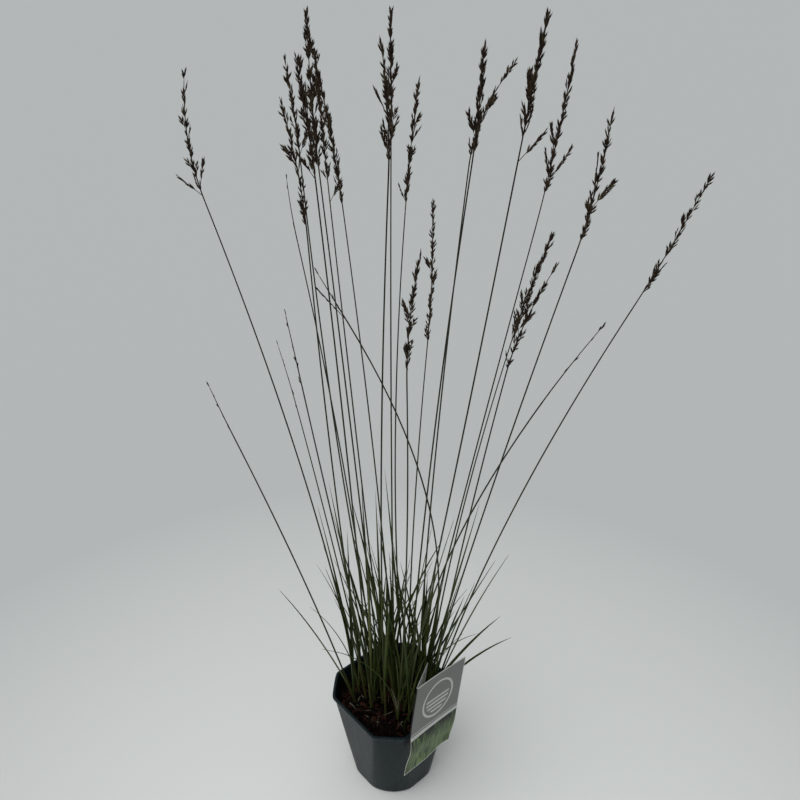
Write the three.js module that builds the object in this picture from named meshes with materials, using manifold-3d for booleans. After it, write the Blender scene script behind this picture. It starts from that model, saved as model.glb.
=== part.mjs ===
// A purple moor grass in flower, standing in the nursery pot that it grew in.
// Millimetres, +Z up. The origin is the middle of the pot's underside. The pot's
// plain front faces -Y, and the label hangs over the rim between the front and +X.
import * as THREE from "three";
import { mergeVertices } from "three/addons/utils/BufferGeometryUtils.js";
import Module from "manifold-3d";

const wasm = await Module();
wasm.setup();

// Driving dimensions

const clearance = 0.3; // between two pieces that touch

const pot = {
  height: 145,
  acrossFlats: 162, // outside the lip, from front to back
  shortSide: 40, // the rim's sides at the front, back, left and right
  cornerCut: 0.8, // how far the rim's rounded corners stand inside sharp ones
  turn: -3.5, // degrees about +Z
  baseRadius: 55.5,
  longFoot: 53.5, // how far the four long flats stand from the middle at the base
  shieldLow: 70, // where the four short flats run out into the round wall
  wall: 1.2,
  lip: { height: 4, proud: 2.5 },
  drainHoles: { count: 8, radius: 5, circle: 36 },
};

const soil = { edgeLevel: 127, middleLevel: 132 };

const label = {
  width: 90,
  height: 145,
  thickness: 0.8,
  middle: [54, -57, 159],
  turn: 45, // degrees about +Z, along the pot's diagonal side
  slant: 9, // degrees in the card's own plane, its top towards the back
  flap: { width: 52, height: 78, turn: 27 }, // folded back over the rim
  stake: { width: 9, length: 124 },
};

// A stem's foot, with its radius at shares of the stem's height.
const foot = { radius: 2.3, buried: 12, level: 130, taper: [[0, 2.3], [0.02, 2], [0.07, 1.4]] };

const stem = { lowRadius: 1.25, neckRadius: 0.8, sides: 4, steps: 6 };

// Leaf blades, with their lean in degrees at the root and at the tip, and how far in
// degrees their bearing may be off the one they are meant for.
const leaf = { width: [3.4, 6], length: [140, 280], keel: 1.1, steps: 5, tries: 40 };
const freeBlade = { leanIn: [3, 13], leanOut: [8, 36] };

// A stem's own two blades, by how high up the stem they start. One goes its own way,
// and the other rises beside the stem, so that its lean is added to the stem's.
const stemBlades = {
  rootOffset: 0.8,
  loose: { rootShare: 0.015, spread: 75, ...freeBlade },
  beside: { rootShare: 0.07, spread: 45, leanIn: [1, 5], leanOut: [2, 13] },
};

// What a flower head of each kind is made of: the steps of its rachis, a spikelet's
// length, girth and lean off the rachis in degrees, the share of steps with no
// spikelet, and the number and length of its short side branches.
const headKinds = {
  dense: { spacing: 6.6, size: 11, girth: 1.4, lean: [3, 17], gaps: 0.04, arms: 2, armLength: [20, 30] },
  medium: { spacing: 7.4, size: 10.5, girth: 1.25, lean: [3, 17], gaps: 0.1, arms: 2, armLength: [17, 27] },
  thin: { spacing: 8, size: 8, girth: 0.8, lean: [1, 9], gaps: 0.25, arms: 0, armLength: [0, 0] },
};

// Each stem by where its foot stands, where its flower head begins (neck), how far
// the stem bows aside halfway up, and where the head ends (tip). bare is the share of
// the rachis below its first spikelet. Side branches that stand out are [share of the
// rachis, length, bearing, angle off the rachis], and blades that lean far out are
// [bearing, length, lean at the root, lean at the tip, width].
const culms = [
  { foot: [-46, 6], neck: [-180, 25, 800], bow: [14, 0], tip: [-185, 30, 920], kind: "medium",
    arms: [[0.02, 30, 180, 36], [0.08, 30, 0, 26]] },
  { foot: [-51, -10], neck: [-150, -95, 605], bow: [2, 6], tip: [-165, -110, 675], kind: "thin",
    far: [[178, 235, 0, 16, 5.5]] },
  { foot: [-38, 18], neck: [-115, 105, 505], bow: [4, -8], tip: [-140, 130, 600], kind: "thin" },
  { foot: [-24, -8], neck: [-80, -95, 650], bow: [-2, 6], tip: [-90, -110, 745], kind: "thin" },
  { foot: [-25, 15], neck: [-110, 155, 715], bow: [10, -10], tip: [-120, 170, 790], kind: "thin" },
  { foot: [-13, 4], neck: [-90, 65, 830], bow: [-8, -4], tip: [-100, 70, 925], kind: "medium",
    arms: [[0.02, 28, 0, 24]] },
  { foot: [-37, -4], neck: [-75, -40, 785], bow: [-5, 2], tip: [-90, -45, 905], kind: "medium",
    arms: [[0.5, 26, 180, 22]] },
  { foot: [-29, -21], neck: [-60, -85, 845], bow: [2, 4], tip: [-70, -90, 945], kind: "dense",
    arms: [[0.02, 30, 180, 28]] },
  { foot: [-14, -13], neck: [-65, 0, 830], bow: [1, 0], tip: [-70, 5, 970], kind: "dense" },
  { foot: [-11, 18], neck: [-65, 100, 770], bow: [0, -6], tip: [-75, 120, 925], kind: "dense",
    bare: 0.15, arms: [[0.02, 28, 0, 34]] },
  { foot: [3, 24], neck: [-55, 150, 750], bow: [5, -10], tip: [-90, 190, 940], kind: "dense" },
  { foot: [-10, -28], neck: [0, -115, 860], bow: [-6, 6], tip: [-5, -125, 960], kind: "medium",
    arms: [[0.13, 24, 180, 16], [0.42, 26, 180, 22]] },
  { foot: [2, 6], neck: [0, 80, 840], bow: [-2, -5], tip: [0, 90, 965], kind: "dense",
    arms: [[0.03, 24, 0, 18], [0.42, 22, 0, 20]] },
  { foot: [15, 20], neck: [15, 160, 750], bow: [-12, -10], tip: [30, 190, 890], kind: "dense",
    arms: [[0.04, 24, 180, 28], [0.5, 20, 0, 26], [0.62, 18, 0, 28]] },
  { foot: [6, -38], neck: [15, -135, 685], bow: [5, 7], tip: [25, -160, 815], kind: "medium",
    arms: [[0.5, 20, 180, 24]], far: [[185, 178, 6, 72, 3.4]] },
  { foot: [20, 6], neck: [40, 90, 605], bow: [-5, -8], tip: [45, 120, 775], kind: "medium",
    arms: [[0.5, 22, 180, 24]] },
  { foot: [20, -14], neck: [70, -55, 855], bow: [-6, 3], tip: [75, -60, 950], kind: "dense" },
  { foot: [33, 8], neck: [75, 35, 830], bow: [-6, -2], tip: [115, 40, 925], kind: "medium" },
  { foot: [14, -26], neck: [95, -125, 845], bow: [3, 7], tip: [110, -140, 980], kind: "dense",
    bare: 0.36, arms: [[0.19, 32, 0, 33], [0.45, 34, 180, 8]] },
  { foot: [32, 22], neck: [150, 80, 745], bow: [-3, -5], tip: [180, 100, 935], kind: "dense",
    bare: 0.24, arms: [[0.26, 48, 0, 22], [0.3, 32, 180, 20], [0.42, 34, 180, 18]] },
  { foot: [38, -18], neck: [160, -80, 780], bow: [-3, 4], tip: [175, -90, 905], kind: "medium",
    bare: 0.1, arms: [[0.33, 34, 0, 26], [0.4, 42, 180, 9], [0.3, 16, 180, 22]] },
  { foot: [53, -4], neck: [235, -25, 710], bow: [-18, 1], tip: [285, -30, 840], kind: "medium",
    far: [[8, 138, 35, 69, 4.5]] },
  { foot: [21, -40], neck: [130, -155, 680], bow: [-28, 8], tip: [170, -170, 760], kind: "thin",
    far: [[188, 180, 14, -6, 6]] },
  { foot: [46, 14], neck: [140, 120, 595], bow: [-11, -8], tip: [185, 150, 725], kind: "dense",
    arms: [[0.1, 36, 0, 26], [0.25, 38, 0, 22], [0.3, 26, 180, 20]] },
  { foot: [46, -27], neck: [105, -100, 675], bow: [-3, 5], tip: [140, -115, 790], kind: "medium" },
  { foot: [30, -3], neck: [-35, -125, 740], bow: [52, 8], tip: [-60, -130, 790], kind: "thin",
    arms: [[0.02, 45, 210, 10]] },
];

// The leafy shoots between the stems, with blades that lean far out as above.
const tufts = [
  { place: [5, -12], blades: 8, far: [] },
  { place: [42, -8], blades: 7, far: [[40, 153, 53, 84, 5]] },
  { place: [-8, 33], blades: 7, far: [[150, 150, 14, 40, 3.5]] },
  { place: [40, 32], blades: 7, far: [[1, 219, 24, 24, 5], [5, 102, 27, 76, 3]] },
  { place: [-25, 4], blades: 7, far: [] },
];
const crown = {
  radius: 4.5,
  height: 14,
  sides: 6,
  rootOffset: 2.9,
  lowestRoot: 4.2,
  rootStep: 0.85,
  blades: { spread: 40, ...freeBlade },
};

// Small helpers

const radians = THREE.MathUtils.degToRad;
const mix = THREE.MathUtils.lerp;
const vec = (x, y, z) => new THREE.Vector3(x, y, z);

// The same numbers between 0 and 1 each time for the same seed.
function seededRandom(seed) {
  let state = seed >>> 0;
  return () => {
    state = (state + 0x6d2b79f5) >>> 0;
    let t = state;
    t = Math.imul(t ^ (t >>> 15), t | 1);
    t ^= t + Math.imul(t ^ (t >>> 7), t | 61);
    return ((t ^ (t >>> 14)) >>> 0) / 4294967296;
  };
}

const between = (random, [low, high]) => mix(low, high, random());

// The unit vector that leans by an angle from straight up towards a bearing.
function leaning(bearing, lean) {
  const out = Math.sin(lean);
  return vec(out * Math.cos(bearing), out * Math.sin(bearing), Math.cos(lean));
}

// Solids

function solidFrom(corners, faces) {
  const vertProperties = new Float32Array(corners.flatMap((p) => [p.x, p.y, p.z]));
  return new wasm.Manifold(
    new wasm.Mesh({ numProp: 3, vertProperties, triVerts: new Uint32Array(faces.flat()) }),
  );
}

function solidOf(geometry) {
  const bare = geometry.clone();
  bare.deleteAttribute("normal");
  bare.deleteAttribute("uv");
  const merged = mergeVertices(bare, 1e-4);
  return new wasm.Manifold(
    new wasm.Mesh({
      numProp: 3,
      vertProperties: new Float32Array(merged.attributes.position.array),
      triVerts: new Uint32Array(merged.index.array),
    }),
  );
}

// Joins solids in one body. A hollow that they would seal between them is filled.
function fuse(solids) {
  const bodies = solids.reduce((whole, piece) => whole.add(piece)).decompose();
  return bodies.reduce((most, body) => (body.volume() > most.volume() ? body : most));
}

// A closed skin over rings of corners that all turn the same way. A ring of one
// corner is a point, and a longer first or last ring is closed with a fan. Where
// the skin is bulging, its warped facets fold away from the z axis.
function skin(rings, bulging = false) {
  const corners = [];
  const starts = rings.map((ring) => corners.push(...ring) - ring.length);
  const faces = [];
  const reach = (p, q) => Math.hypot(corners[p].x + corners[q].x, corners[p].y + corners[q].y);
  for (let level = 0; level + 1 < rings.length; level++) {
    const [low, high] = [rings[level].length, rings[level + 1].length];
    const size = Math.max(low, high);
    for (let i = 0; i < size; i++) {
      const next = (i + 1) % size;
      const [p, q] = [i, next].map((k) => starts[level] + (low > 1 ? k : 0));
      const [s, r] = [i, next].map((k) => starts[level + 1] + (high > 1 ? k : 0));
      if (high === 1) faces.push([p, q, r]);
      else if (low === 1) faces.push([p, r, s]);
      else if (bulging && reach(q, s) > reach(p, r)) faces.push([p, q, s], [q, r, s]);
      else faces.push([p, q, r], [p, r, s]);
    }
  }
  const cap = (start, size, turn) => {
    for (let i = 1; i + 1 < size; i++) faces.push(turn([start, start + i + 1, start + i]));
  };
  cap(starts[0], rings[0].length, (face) => face);
  cap(starts.at(-1), rings.at(-1).length, (face) => face.reverse());
  return solidFrom(corners, faces);
}

// A side vector and an out vector at each point of a path, carried along it so that
// they don't twist.
function frames(points, firstSide) {
  let side = firstSide.clone();
  return points.map((point, i) => {
    const from = points[Math.max(i - 1, 0)];
    const to = points[Math.min(i + 1, points.length - 1)];
    const ahead = to.clone().sub(from).normalize();
    side = side.clone().addScaledVector(ahead, -side.dot(ahead)).normalize();
    return { side, out: ahead.clone().cross(side) };
  });
}

// A round stalk along a path. A radius of 0 ends it in a point.
function stalk(points, radii, sides) {
  const along = frames(points, vec(1, 0, 0));
  const rings = points.map((point, i) => {
    if (radii[i] === 0) return [point];
    return Array.from({ length: sides }, (_, k) => {
      const angle = (2 * Math.PI * k) / sides;
      return point
        .clone()
        .addScaledVector(along[i].side, radii[i] * Math.cos(angle))
        .addScaledVector(along[i].out, radii[i] * Math.sin(angle));
    });
  });
  return skin(rings);
}

// A leaf blade: flat on the side that faces its shoot, with a keel on the other, drawn
// out to a fine tip.
function blade(points, bearing, width) {
  const across = vec(-Math.sin(bearing), Math.cos(bearing), 0);
  const along = frames(points, across);
  const rings = points.map((point, i) => {
    const share = i / (points.length - 1);
    if (share === 1) return [point];
    const half = (width / 2) * (1 - share ** 3) * (0.8 + 0.2 * Math.min(1, 5 * share));
    const keel = leaf.keel * (1 - 0.35 * share);
    return [
      point.clone().addScaledVector(along[i].side, half),
      point.clone().addScaledVector(along[i].side, -half),
      point.clone().addScaledVector(along[i].out, -keel),
    ];
  });
  return skin(rings);
}

// A three-sided stalk that carries spikelets. Each one takes the place of a face of
// the stalk and grows out of it, so that the whole spray is one closed skin. The
// spikelets go round the stalk's three sides in turn, and one ends it. bearing says
// for each step whether it carries one: a spikelet's girth, length and lean, or null.
function spray(path, radii, spikelets, end) {
  const along = frames(path, vec(1, 0, 0));
  const corners = [];
  const faces = [];
  path.forEach((point, i) => {
    for (let k = 0; k < 3; k++) {
      const angle = (2 * Math.PI * k) / 3;
      corners.push(
        point
          .clone()
          .addScaledVector(along[i].side, radii[i] * Math.cos(angle))
          .addScaledVector(along[i].out, radii[i] * Math.sin(angle)),
      );
    }
  });
  faces.push([0, 2, 1]);
  for (let i = 0; i + 1 < path.length; i++) {
    const ahead = path[i + 1].clone().sub(path[i]).normalize();
    for (let k = 0; k < 3; k++) {
      const next = (k + 1) % 3;
      const lower = [3 * i + k, 3 * i + next, 3 * i + 3 + next];
      faces.push([3 * i + k, 3 * i + 3 + next, 3 * i + 3 + k]);
      if (spikelets[i] && k === i % 3) growFromFace(corners, faces, lower, ahead, spikelets[i]);
      else faces.push(lower);
    }
  }
  const last = 3 * (path.length - 1);
  const ahead = path.at(-1).clone().sub(path.at(-2)).normalize();
  growFromFace(corners, faces, [last, last + 1, last + 2], ahead, end);
  return solidFrom(corners, faces);
}

// A spikelet in the place of one face: out to its widest ring, and in to its tip.
function growFromFace(corners, faces, face, ahead, { girth, length, lean }) {
  const [p, q, r] = face.map((i) => corners[i]);
  const middle = p.clone().add(q).add(r).divideScalar(3);
  const out = q.clone().sub(p).cross(r.clone().sub(p)).normalize();
  out.addScaledVector(ahead, -out.dot(ahead));
  const proud = out.length() > 0.5 ? girth + clearance : 0;
  out.normalize();
  const widest = middle.clone().addScaledVector(ahead, 0.38 * length).addScaledVector(out, proud);
  const tip = widest
    .clone()
    .addScaledVector(ahead, 0.62 * length * Math.cos(lean))
    .addScaledVector(out, proud ? 0.62 * length * Math.sin(lean) : 0);
  const axis = tip.clone().sub(middle).normalize();
  const side = p.clone().sub(middle);
  side.addScaledVector(axis, -side.dot(axis)).normalize();
  const turned = axis.clone().cross(side);
  const ring = [0, 1, 2].map((k) => {
    const angle = (2 * Math.PI * k) / 3;
    corners.push(
      widest
        .clone()
        .addScaledVector(side, girth * Math.cos(angle))
        .addScaledVector(turned, girth * Math.sin(angle)),
    );
    return corners.length - 1;
  });
  corners.push(tip);
  const point = corners.length - 1;
  for (let k = 0; k < 3; k++) {
    const next = (k + 1) % 3;
    faces.push([face[k], face[next], ring[next]], [face[k], ring[next], ring[k]]);
    faces.push([ring[k], ring[next], point]);
  }
}

// Room for what grows: everything already placed, as round-ended rods

const placed = [];

function place(owner, points, radius) {
  for (let i = 0; i + 1 < points.length; i++) {
    placed.push({ owner, a: points[i], b: points[i + 1], radius });
  }
}

// The shortest distance between two straight lines with ends.
function gapBetween(a1, b1, a2, b2) {
  const d1 = b1.clone().sub(a1);
  const d2 = b2.clone().sub(a2);
  const r = a1.clone().sub(a2);
  const [a, e, f, c, b] = [d1.dot(d1), d2.dot(d2), d2.dot(r), d1.dot(r), d1.dot(d2)];
  const clamp = (value) => Math.min(1, Math.max(0, value));
  const denominator = a * e - b * b;
  let s = denominator > 1e-9 ? clamp((b * f - c * e) / denominator) : 0;
  let t = (b * s + f) / e;
  if (t < 0) [t, s] = [0, clamp(-c / a)];
  else if (t > 1) [t, s] = [1, clamp((b - c) / a)];
  return a1.clone().addScaledVector(d1, s).distanceTo(a2.clone().addScaledVector(d2, t));
}

function hasRoom(owner, points, radius) {
  for (let i = 0; i + 1 < points.length; i++) {
    for (const rod of placed) {
      if (rod.owner === owner) continue;
      const room = radius + rod.radius + 2 * clearance;
      if (gapBetween(points[i], points[i + 1], rod.a, rod.b) < room) return false;
    }
  }
  return true;
}

// Pot and soil

// The wall is a cone that is pressed flat on eight sides. The four short flats narrow
// downwards like a shield, and the four long ones reach the base.
const rimFlat = pot.acrossFlats / 2 - pot.lip.proud;
const rimHalfSide = (pot.shortSide / 2) * (rimFlat / (pot.acrossFlats / 2));
const rimCorner = Math.hypot(rimFlat, rimHalfSide) - pot.cornerCut;
const rimLongFlat = (rimFlat + rimHalfSide) / Math.SQRT2;
const cornerAngle = Math.atan2(rimHalfSide, rimFlat);

const coneAt = (z) => mix(pot.baseRadius, rimCorner, z / pot.height);
const longFlatAt = (z) => mix(pot.longFoot, rimLongFlat, z / pot.height);

function shieldAt(z) {
  const { shieldLow, height } = pot;
  return mix(coneAt(shieldLow), rimFlat, (z - shieldLow) / (height - shieldLow));
}

// The wall's distance from the middle in one direction, moved out or in by outset.
function wallReach(angle, z, outset) {
  const flats = Array.from({ length: 8 }, (_, k) => {
    const facing = Math.cos(angle - radians(pot.turn) - (k * Math.PI) / 4);
    const stand = (k % 2 ? longFlatAt(z) : shieldAt(z)) + outset;
    return facing > 0.5 ? stand / facing : Infinity;
  });
  return Math.min(coneAt(z) + outset, ...flats);
}

// The angles at which the wall has its corners: on the short flats, and on the long
// ones beside them.
function wallAngles() {
  const corner = THREE.MathUtils.radToDeg(cornerAngle);
  const onShort = [-corner, -11, -7, 0, 7, 11, corner];
  const onLong = [24, 35, 45, 55, 66];
  return [0, 90, 180, 270].flatMap((quarter) =>
    [...onShort, ...onLong].map((degrees) => radians(quarter + degrees + pot.turn)),
  );
}

function wallPoint(angle, z, outset) {
  return vec(wallReach(angle, z, outset), 0, z).applyAxisAngle(vec(0, 0, 1), angle);
}

function wallRing(z, outset) {
  return wallAngles().map((angle) => wallPoint(angle, z, outset));
}

function makePot() {
  const { height, wall, lip, shieldLow, drainHoles } = pot;
  const lipBottom = height - lip.height;
  const halfPressed = (shieldLow + height) / 2;
  const rings = [
    wallRing(0, 0),
    wallRing(shieldLow, 0),
    wallRing(halfPressed, 0),
    wallRing(lipBottom, 0),
    wallRing(lipBottom, lip.proud),
    wallRing(height, lip.proud),
    wallRing(height, -wall),
    wallRing(halfPressed, -wall),
    wallRing(shieldLow, -wall),
    wallRing(wall, -wall),
  ];
  let body = skin(rings, true);
  for (let i = 0; i < drainHoles.count; i++) {
    const angle = (2 * Math.PI * (i + 0.5)) / drainHoles.count;
    const hole = new THREE.CylinderGeometry(drainHoles.radius, drainHoles.radius, 6 * wall, 8);
    hole.rotateX(Math.PI / 2);
    hole.translate(drainHoles.circle * Math.cos(angle), drainHoles.circle * Math.sin(angle), 0);
    body = body.subtract(solidOf(hole));
  }
  return body;
}

// A plain upright hole for a foot or a stake of the given half width.
function soilHole([x, y], halfWidth) {
  const radius = (halfWidth + clearance) / Math.cos(Math.PI / 6);
  const depth = foot.buried + 1;
  const hole = new THREE.CylinderGeometry(radius, radius, 2 * depth, 6);
  hole.rotateX(Math.PI / 2);
  hole.translate(x, y, foot.level);
  return solidOf(hole);
}

function makeSoil() {
  const { wall, shieldLow, height } = pot;
  const levels = [wall + clearance, shieldLow, (shieldLow + height) / 2, soil.edgeLevel];
  const sides = levels.map((z) => wallRing(z, -wall - 2 * clearance));
  const body = skin([...sides, [vec(0, 0, soil.middleLevel)]], true);
  const holes = [
    ...culms.map((culm) => soilHole(culm.foot, foot.radius)),
    ...tufts.map((tuft) => soilHole(tuft.place, crown.radius)),
    stakeHole(),
  ];
  return holes.reduce((rest, hole) => rest.subtract(hole), body);
}

// Label

// The card's frame: its middle, and the directions of its width, its height and the
// face that looks away from the pot.
function cardFrame() {
  const level = vec(1, 0, 0).applyAxisAngle(vec(0, 0, 1), radians(label.turn));
  const face = level.clone().cross(vec(0, 0, 1)).normalize();
  const across = level.clone().applyAxisAngle(face, -radians(label.slant));
  const up = vec(0, 0, 1).applyAxisAngle(face, -radians(label.slant));
  return { middle: vec(...label.middle), across, up, face };
}

// A flat plate with one corner at the given place, spanned by two edges.
function plate(corner, across, up) {
  const out = across.clone().cross(up).setLength(label.thickness);
  const ring = (shift) => [
    corner.clone().add(shift),
    corner.clone().add(across).add(shift),
    corner.clone().add(across).add(up).add(shift),
    corner.clone().add(up).add(shift),
  ];
  return skin([ring(vec(0, 0, 0)), ring(out)]);
}

function flapFrame() {
  const { middle, across, up } = cardFrame();
  const { flap, width, height } = label;
  const foldTop = middle
    .clone()
    .addScaledVector(across, -width / 2)
    .addScaledVector(up, height / 2);
  const back = across.clone().applyAxisAngle(up, radians(flap.turn));
  return { foldTop, back, up };
}

// The stake goes straight down from the flap's far edge.
function stakeTop() {
  const { foldTop, back } = flapFrame();
  return foldTop.clone().addScaledVector(back, label.flap.width - label.stake.width);
}

function makeLabel() {
  const { middle, across, up } = cardFrame();
  const corner = middle
    .clone()
    .addScaledVector(across, -label.width / 2)
    .addScaledVector(up, -label.height / 2);
  const card = plate(
    corner,
    across.clone().multiplyScalar(label.width),
    up.clone().multiplyScalar(label.height),
  );
  const { foldTop, back } = flapFrame();
  const flap = plate(
    foldTop.clone().addScaledVector(up, -label.flap.height),
    back.clone().multiplyScalar(label.flap.width),
    up.clone().multiplyScalar(label.flap.height),
  );
  const stake = plate(
    stakeTop().addScaledVector(up, -label.stake.length),
    back.clone().multiplyScalar(label.stake.width),
    up.clone().multiplyScalar(label.stake.length),
  );
  return fuse([card, flap, stake]);
}

function stakeHole() {
  const { back, up } = flapFrame();
  const { stake, thickness } = label;
  const room = 2 * clearance;
  const hole = new THREE.BoxGeometry(stake.width + 2 * room, thickness + 2 * room, stake.length);
  const out = back.clone().cross(up);
  hole.applyMatrix4(new THREE.Matrix4().makeBasis(back, out.negate(), up.clone()));
  const middle = stakeTop()
    .addScaledVector(back, stake.width / 2)
    .addScaledVector(up, -stake.length / 2 - room)
    .addScaledVector(out, -thickness / 2);
  hole.translate(middle.x, middle.y, middle.z);
  return solidOf(hole);
}

// Upright rods over the card, its flap and the stake, which keep the leaves off them.
function placeLabel() {
  const { middle, across, up } = cardFrame();
  const halfRod = up.clone().multiplyScalar(label.height / 2);
  for (let x = -label.width / 2; x <= label.width / 2; x += 10) {
    const centre = middle.clone().addScaledVector(across, x);
    place("label", [centre.clone().sub(halfRod), centre.clone().add(halfRod)], 5);
  }
  const { foldTop, back } = flapFrame();
  for (let x = 8; x <= label.flap.width; x += 8) {
    const top = foldTop.clone().addScaledVector(back, x);
    const length = x > label.flap.width - label.stake.width ? label.stake.length : label.flap.height;
    place("label", [top.clone().addScaledVector(up, -length), top], 4);
  }
}

// The pot's lip, which the leaves pass over.
function placeLip() {
  const level = pot.height - pot.lip.height / 2;
  const rim = [0, 1, 2, 3].flatMap((quarter) =>
    [-cornerAngle, cornerAngle].map((off) => {
      const angle = radians(pot.turn) + (quarter * Math.PI) / 2 + off;
      return wallPoint(angle, level, pot.lip.proud - pot.wall);
    }),
  );
  place("pot", [...rim, rim[0]], 3);
}

// Stems

const footOf = (culm) => vec(...culm.foot, foot.level);

// The point of a stem at a share of the way from its foot to its neck.
function stemPoint(culm, share) {
  const sway = 4 * share * (1 - share);
  return footOf(culm)
    .lerp(vec(...culm.neck), share)
    .add(vec(culm.bow[0] * sway, culm.bow[1] * sway, 0));
}

function stemPath(culm) {
  const shares = Array.from({ length: stem.steps }, (_, i) => (i + 1) / stem.steps);
  const low = foot.taper.map(([share]) => share);
  return [...low, ...shares].map((share) => stemPoint(culm, share));
}

// A blade's root stands a little off the axis of what it grows from.
function bladePath(axis, offset, bearing, length, leanIn, leanOut) {
  const points = [axis.clone().addScaledVector(leaning(bearing, Math.PI / 2), offset)];
  for (let i = 0; i < leaf.steps; i++) {
    const lean = mix(leanIn, leanOut, ((i + 0.5) / leaf.steps) ** 1.3);
    const step = leaning(bearing, lean).multiplyScalar(length / leaf.steps);
    points.push(points.at(-1).clone().add(step));
  }
  return points;
}

// Draws a blade's shape again until it stands clear of every other piece.
function growBlade(owner, axis, offset, random, draw) {
  for (let attempt = 0; attempt < leaf.tries; attempt++) {
    const { bearing, length, leanIn, leanOut, width } = draw(random);
    const points = bladePath(axis, offset, bearing, length, leanIn, leanOut);
    if (!hasRoom(owner, points, width * 0.4)) continue;
    place(owner, points, width * 0.4);
    return [blade(points, bearing, width)];
  }
  return [];
}

// A blade that stands near its shoot, about the given bearing. lean is the shoot's own.
function growNearBlade(owner, axis, offset, random, bearing, rule, lean = 0) {
  return growBlade(owner, axis, offset, random, (next) => ({
    bearing: bearing + radians(between(next, [-rule.spread, rule.spread])),
    length: between(next, leaf.length),
    leanIn: lean + radians(between(next, rule.leanIn)),
    leanOut: lean + radians(between(next, rule.leanOut)),
    width: between(next, leaf.width),
  }));
}

function growFarBlades(owner, axis, offset, random, rows = []) {
  const spread = 4;
  return rows.flatMap(([bearing, length, leanIn, leanOut, width]) =>
    growBlade(owner, axis, offset, random, (next) => ({
      bearing: radians(bearing + between(next, [-spread, spread])),
      length,
      leanIn: radians(leanIn),
      leanOut: radians(leanOut),
      width,
    })),
  );
}

// A stem and its own blades.
function makeCulm(culm, number) {
  const owner = nodeName("culm", number);
  const random = seededRandom(100 + number);
  const path = stemPath(culm);
  const buried = path[0].clone().setZ(foot.level - foot.buried);
  const { lowRadius, neckRadius, steps, sides } = stem;
  const low = foot.taper.map(([, radius]) => radius);
  const high = Array.from({ length: steps }, (_, i) => mix(lowRadius, neckRadius, (i + 1) / steps));
  const trunk = stalk([buried, ...path], [foot.radius, ...low, ...high], sides);
  const { rootOffset, loose, beside } = stemBlades;
  const looseRoot = stemPoint(culm, loose.rootShare);
  const besideRoot = stemPoint(culm, beside.rootShare);
  const ahead = stemPoint(culm, 2 * beside.rootShare).sub(besideRoot).normalize();
  const outward = Math.atan2(ahead.y, ahead.x);
  const lean = Math.acos(ahead.z);
  const blades = [
    ...growFarBlades(owner, looseRoot, rootOffset, random, culm.far),
    ...growNearBlade(owner, besideRoot, rootOffset, random, outward, beside, lean),
    ...growNearBlade(owner, looseRoot, rootOffset, random, outward + Math.PI, loose),
  ];
  return fuse([trunk, ...blades]);
}

// A leafy shoot: its crown, and blades all round it that start ever higher.
function makeTuft(tuft, number) {
  const owner = nodeName("tuft", number, 1);
  const random = seededRandom(500 + number);
  const { radius, height, sides, rootOffset, lowestRoot, rootStep, blades } = crown;
  const at = (z) => vec(...tuft.place, foot.level + z);
  const heart = stalk(
    [at(-foot.buried), at(0), at(height * 0.6), at(height)],
    [radius, radius, radius * 0.7, radius * 0.35],
    sides,
  );
  const far = growFarBlades(owner, at(height / 2), rootOffset, random, tuft.far);
  const near = Array.from({ length: tuft.blades }).flatMap((_, k) => {
    const bearing = (2 * Math.PI * k) / tuft.blades;
    return growNearBlade(owner, at(lowestRoot + k * rootStep), rootOffset, random, bearing, blades);
  });
  return fuse([heart, ...far, ...near]);
}

// Flower heads

const rachis = { rootRadius: 0.8, tipRadius: 0.45, armRadius: 0.45 };

// A point on the rachis, which carries on as the stem ends and turns to its tip.
function rachisPoint(culm, share) {
  const neck = vec(...culm.neck);
  const tip = vec(...culm.tip);
  const heading = neck.clone().sub(footOf(culm));
  heading.add(vec(-4 * culm.bow[0], -4 * culm.bow[1], 0)).normalize();
  const start = neck.clone().addScaledVector(heading, clearance);
  const bend = neck.clone().addScaledVector(heading, neck.distanceTo(tip) / 2);
  const rest = 1 - share;
  return start
    .multiplyScalar(rest * rest)
    .addScaledVector(bend, 2 * rest * share)
    .addScaledVector(tip, share * share);
}

// The rachis ends a spikelet's length below the head's tip.
function rachisPath(culm) {
  const kind = headKinds[culm.kind];
  const length = vec(...culm.neck).distanceTo(vec(...culm.tip));
  const steps = Math.round((length - kind.size) / kind.spacing);
  const end = 1 - kind.size / length;
  return Array.from({ length: steps + 1 }, (_, i) => rachisPoint(culm, (end * i) / steps));
}

// A direction at an angle off the rachis, turned towards a bearing.
function offRachis(culm, share, bearing, angle) {
  const step = 0.02;
  const ahead = rachisPoint(culm, share + step).sub(rachisPoint(culm, share - step)).normalize();
  const side = vec(Math.cos(bearing), Math.sin(bearing), 0);
  side.addScaledVector(ahead, -side.dot(ahead)).normalize();
  return ahead.multiplyScalar(Math.cos(angle)).addScaledVector(side, Math.sin(angle));
}

function drawSpikelet(kind, random) {
  return {
    girth: kind.girth * between(random, [0.85, 1.1]),
    length: kind.size * between(random, [0.85, 1.1]),
    lean: radians(between(random, kind.lean)),
  };
}

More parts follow.
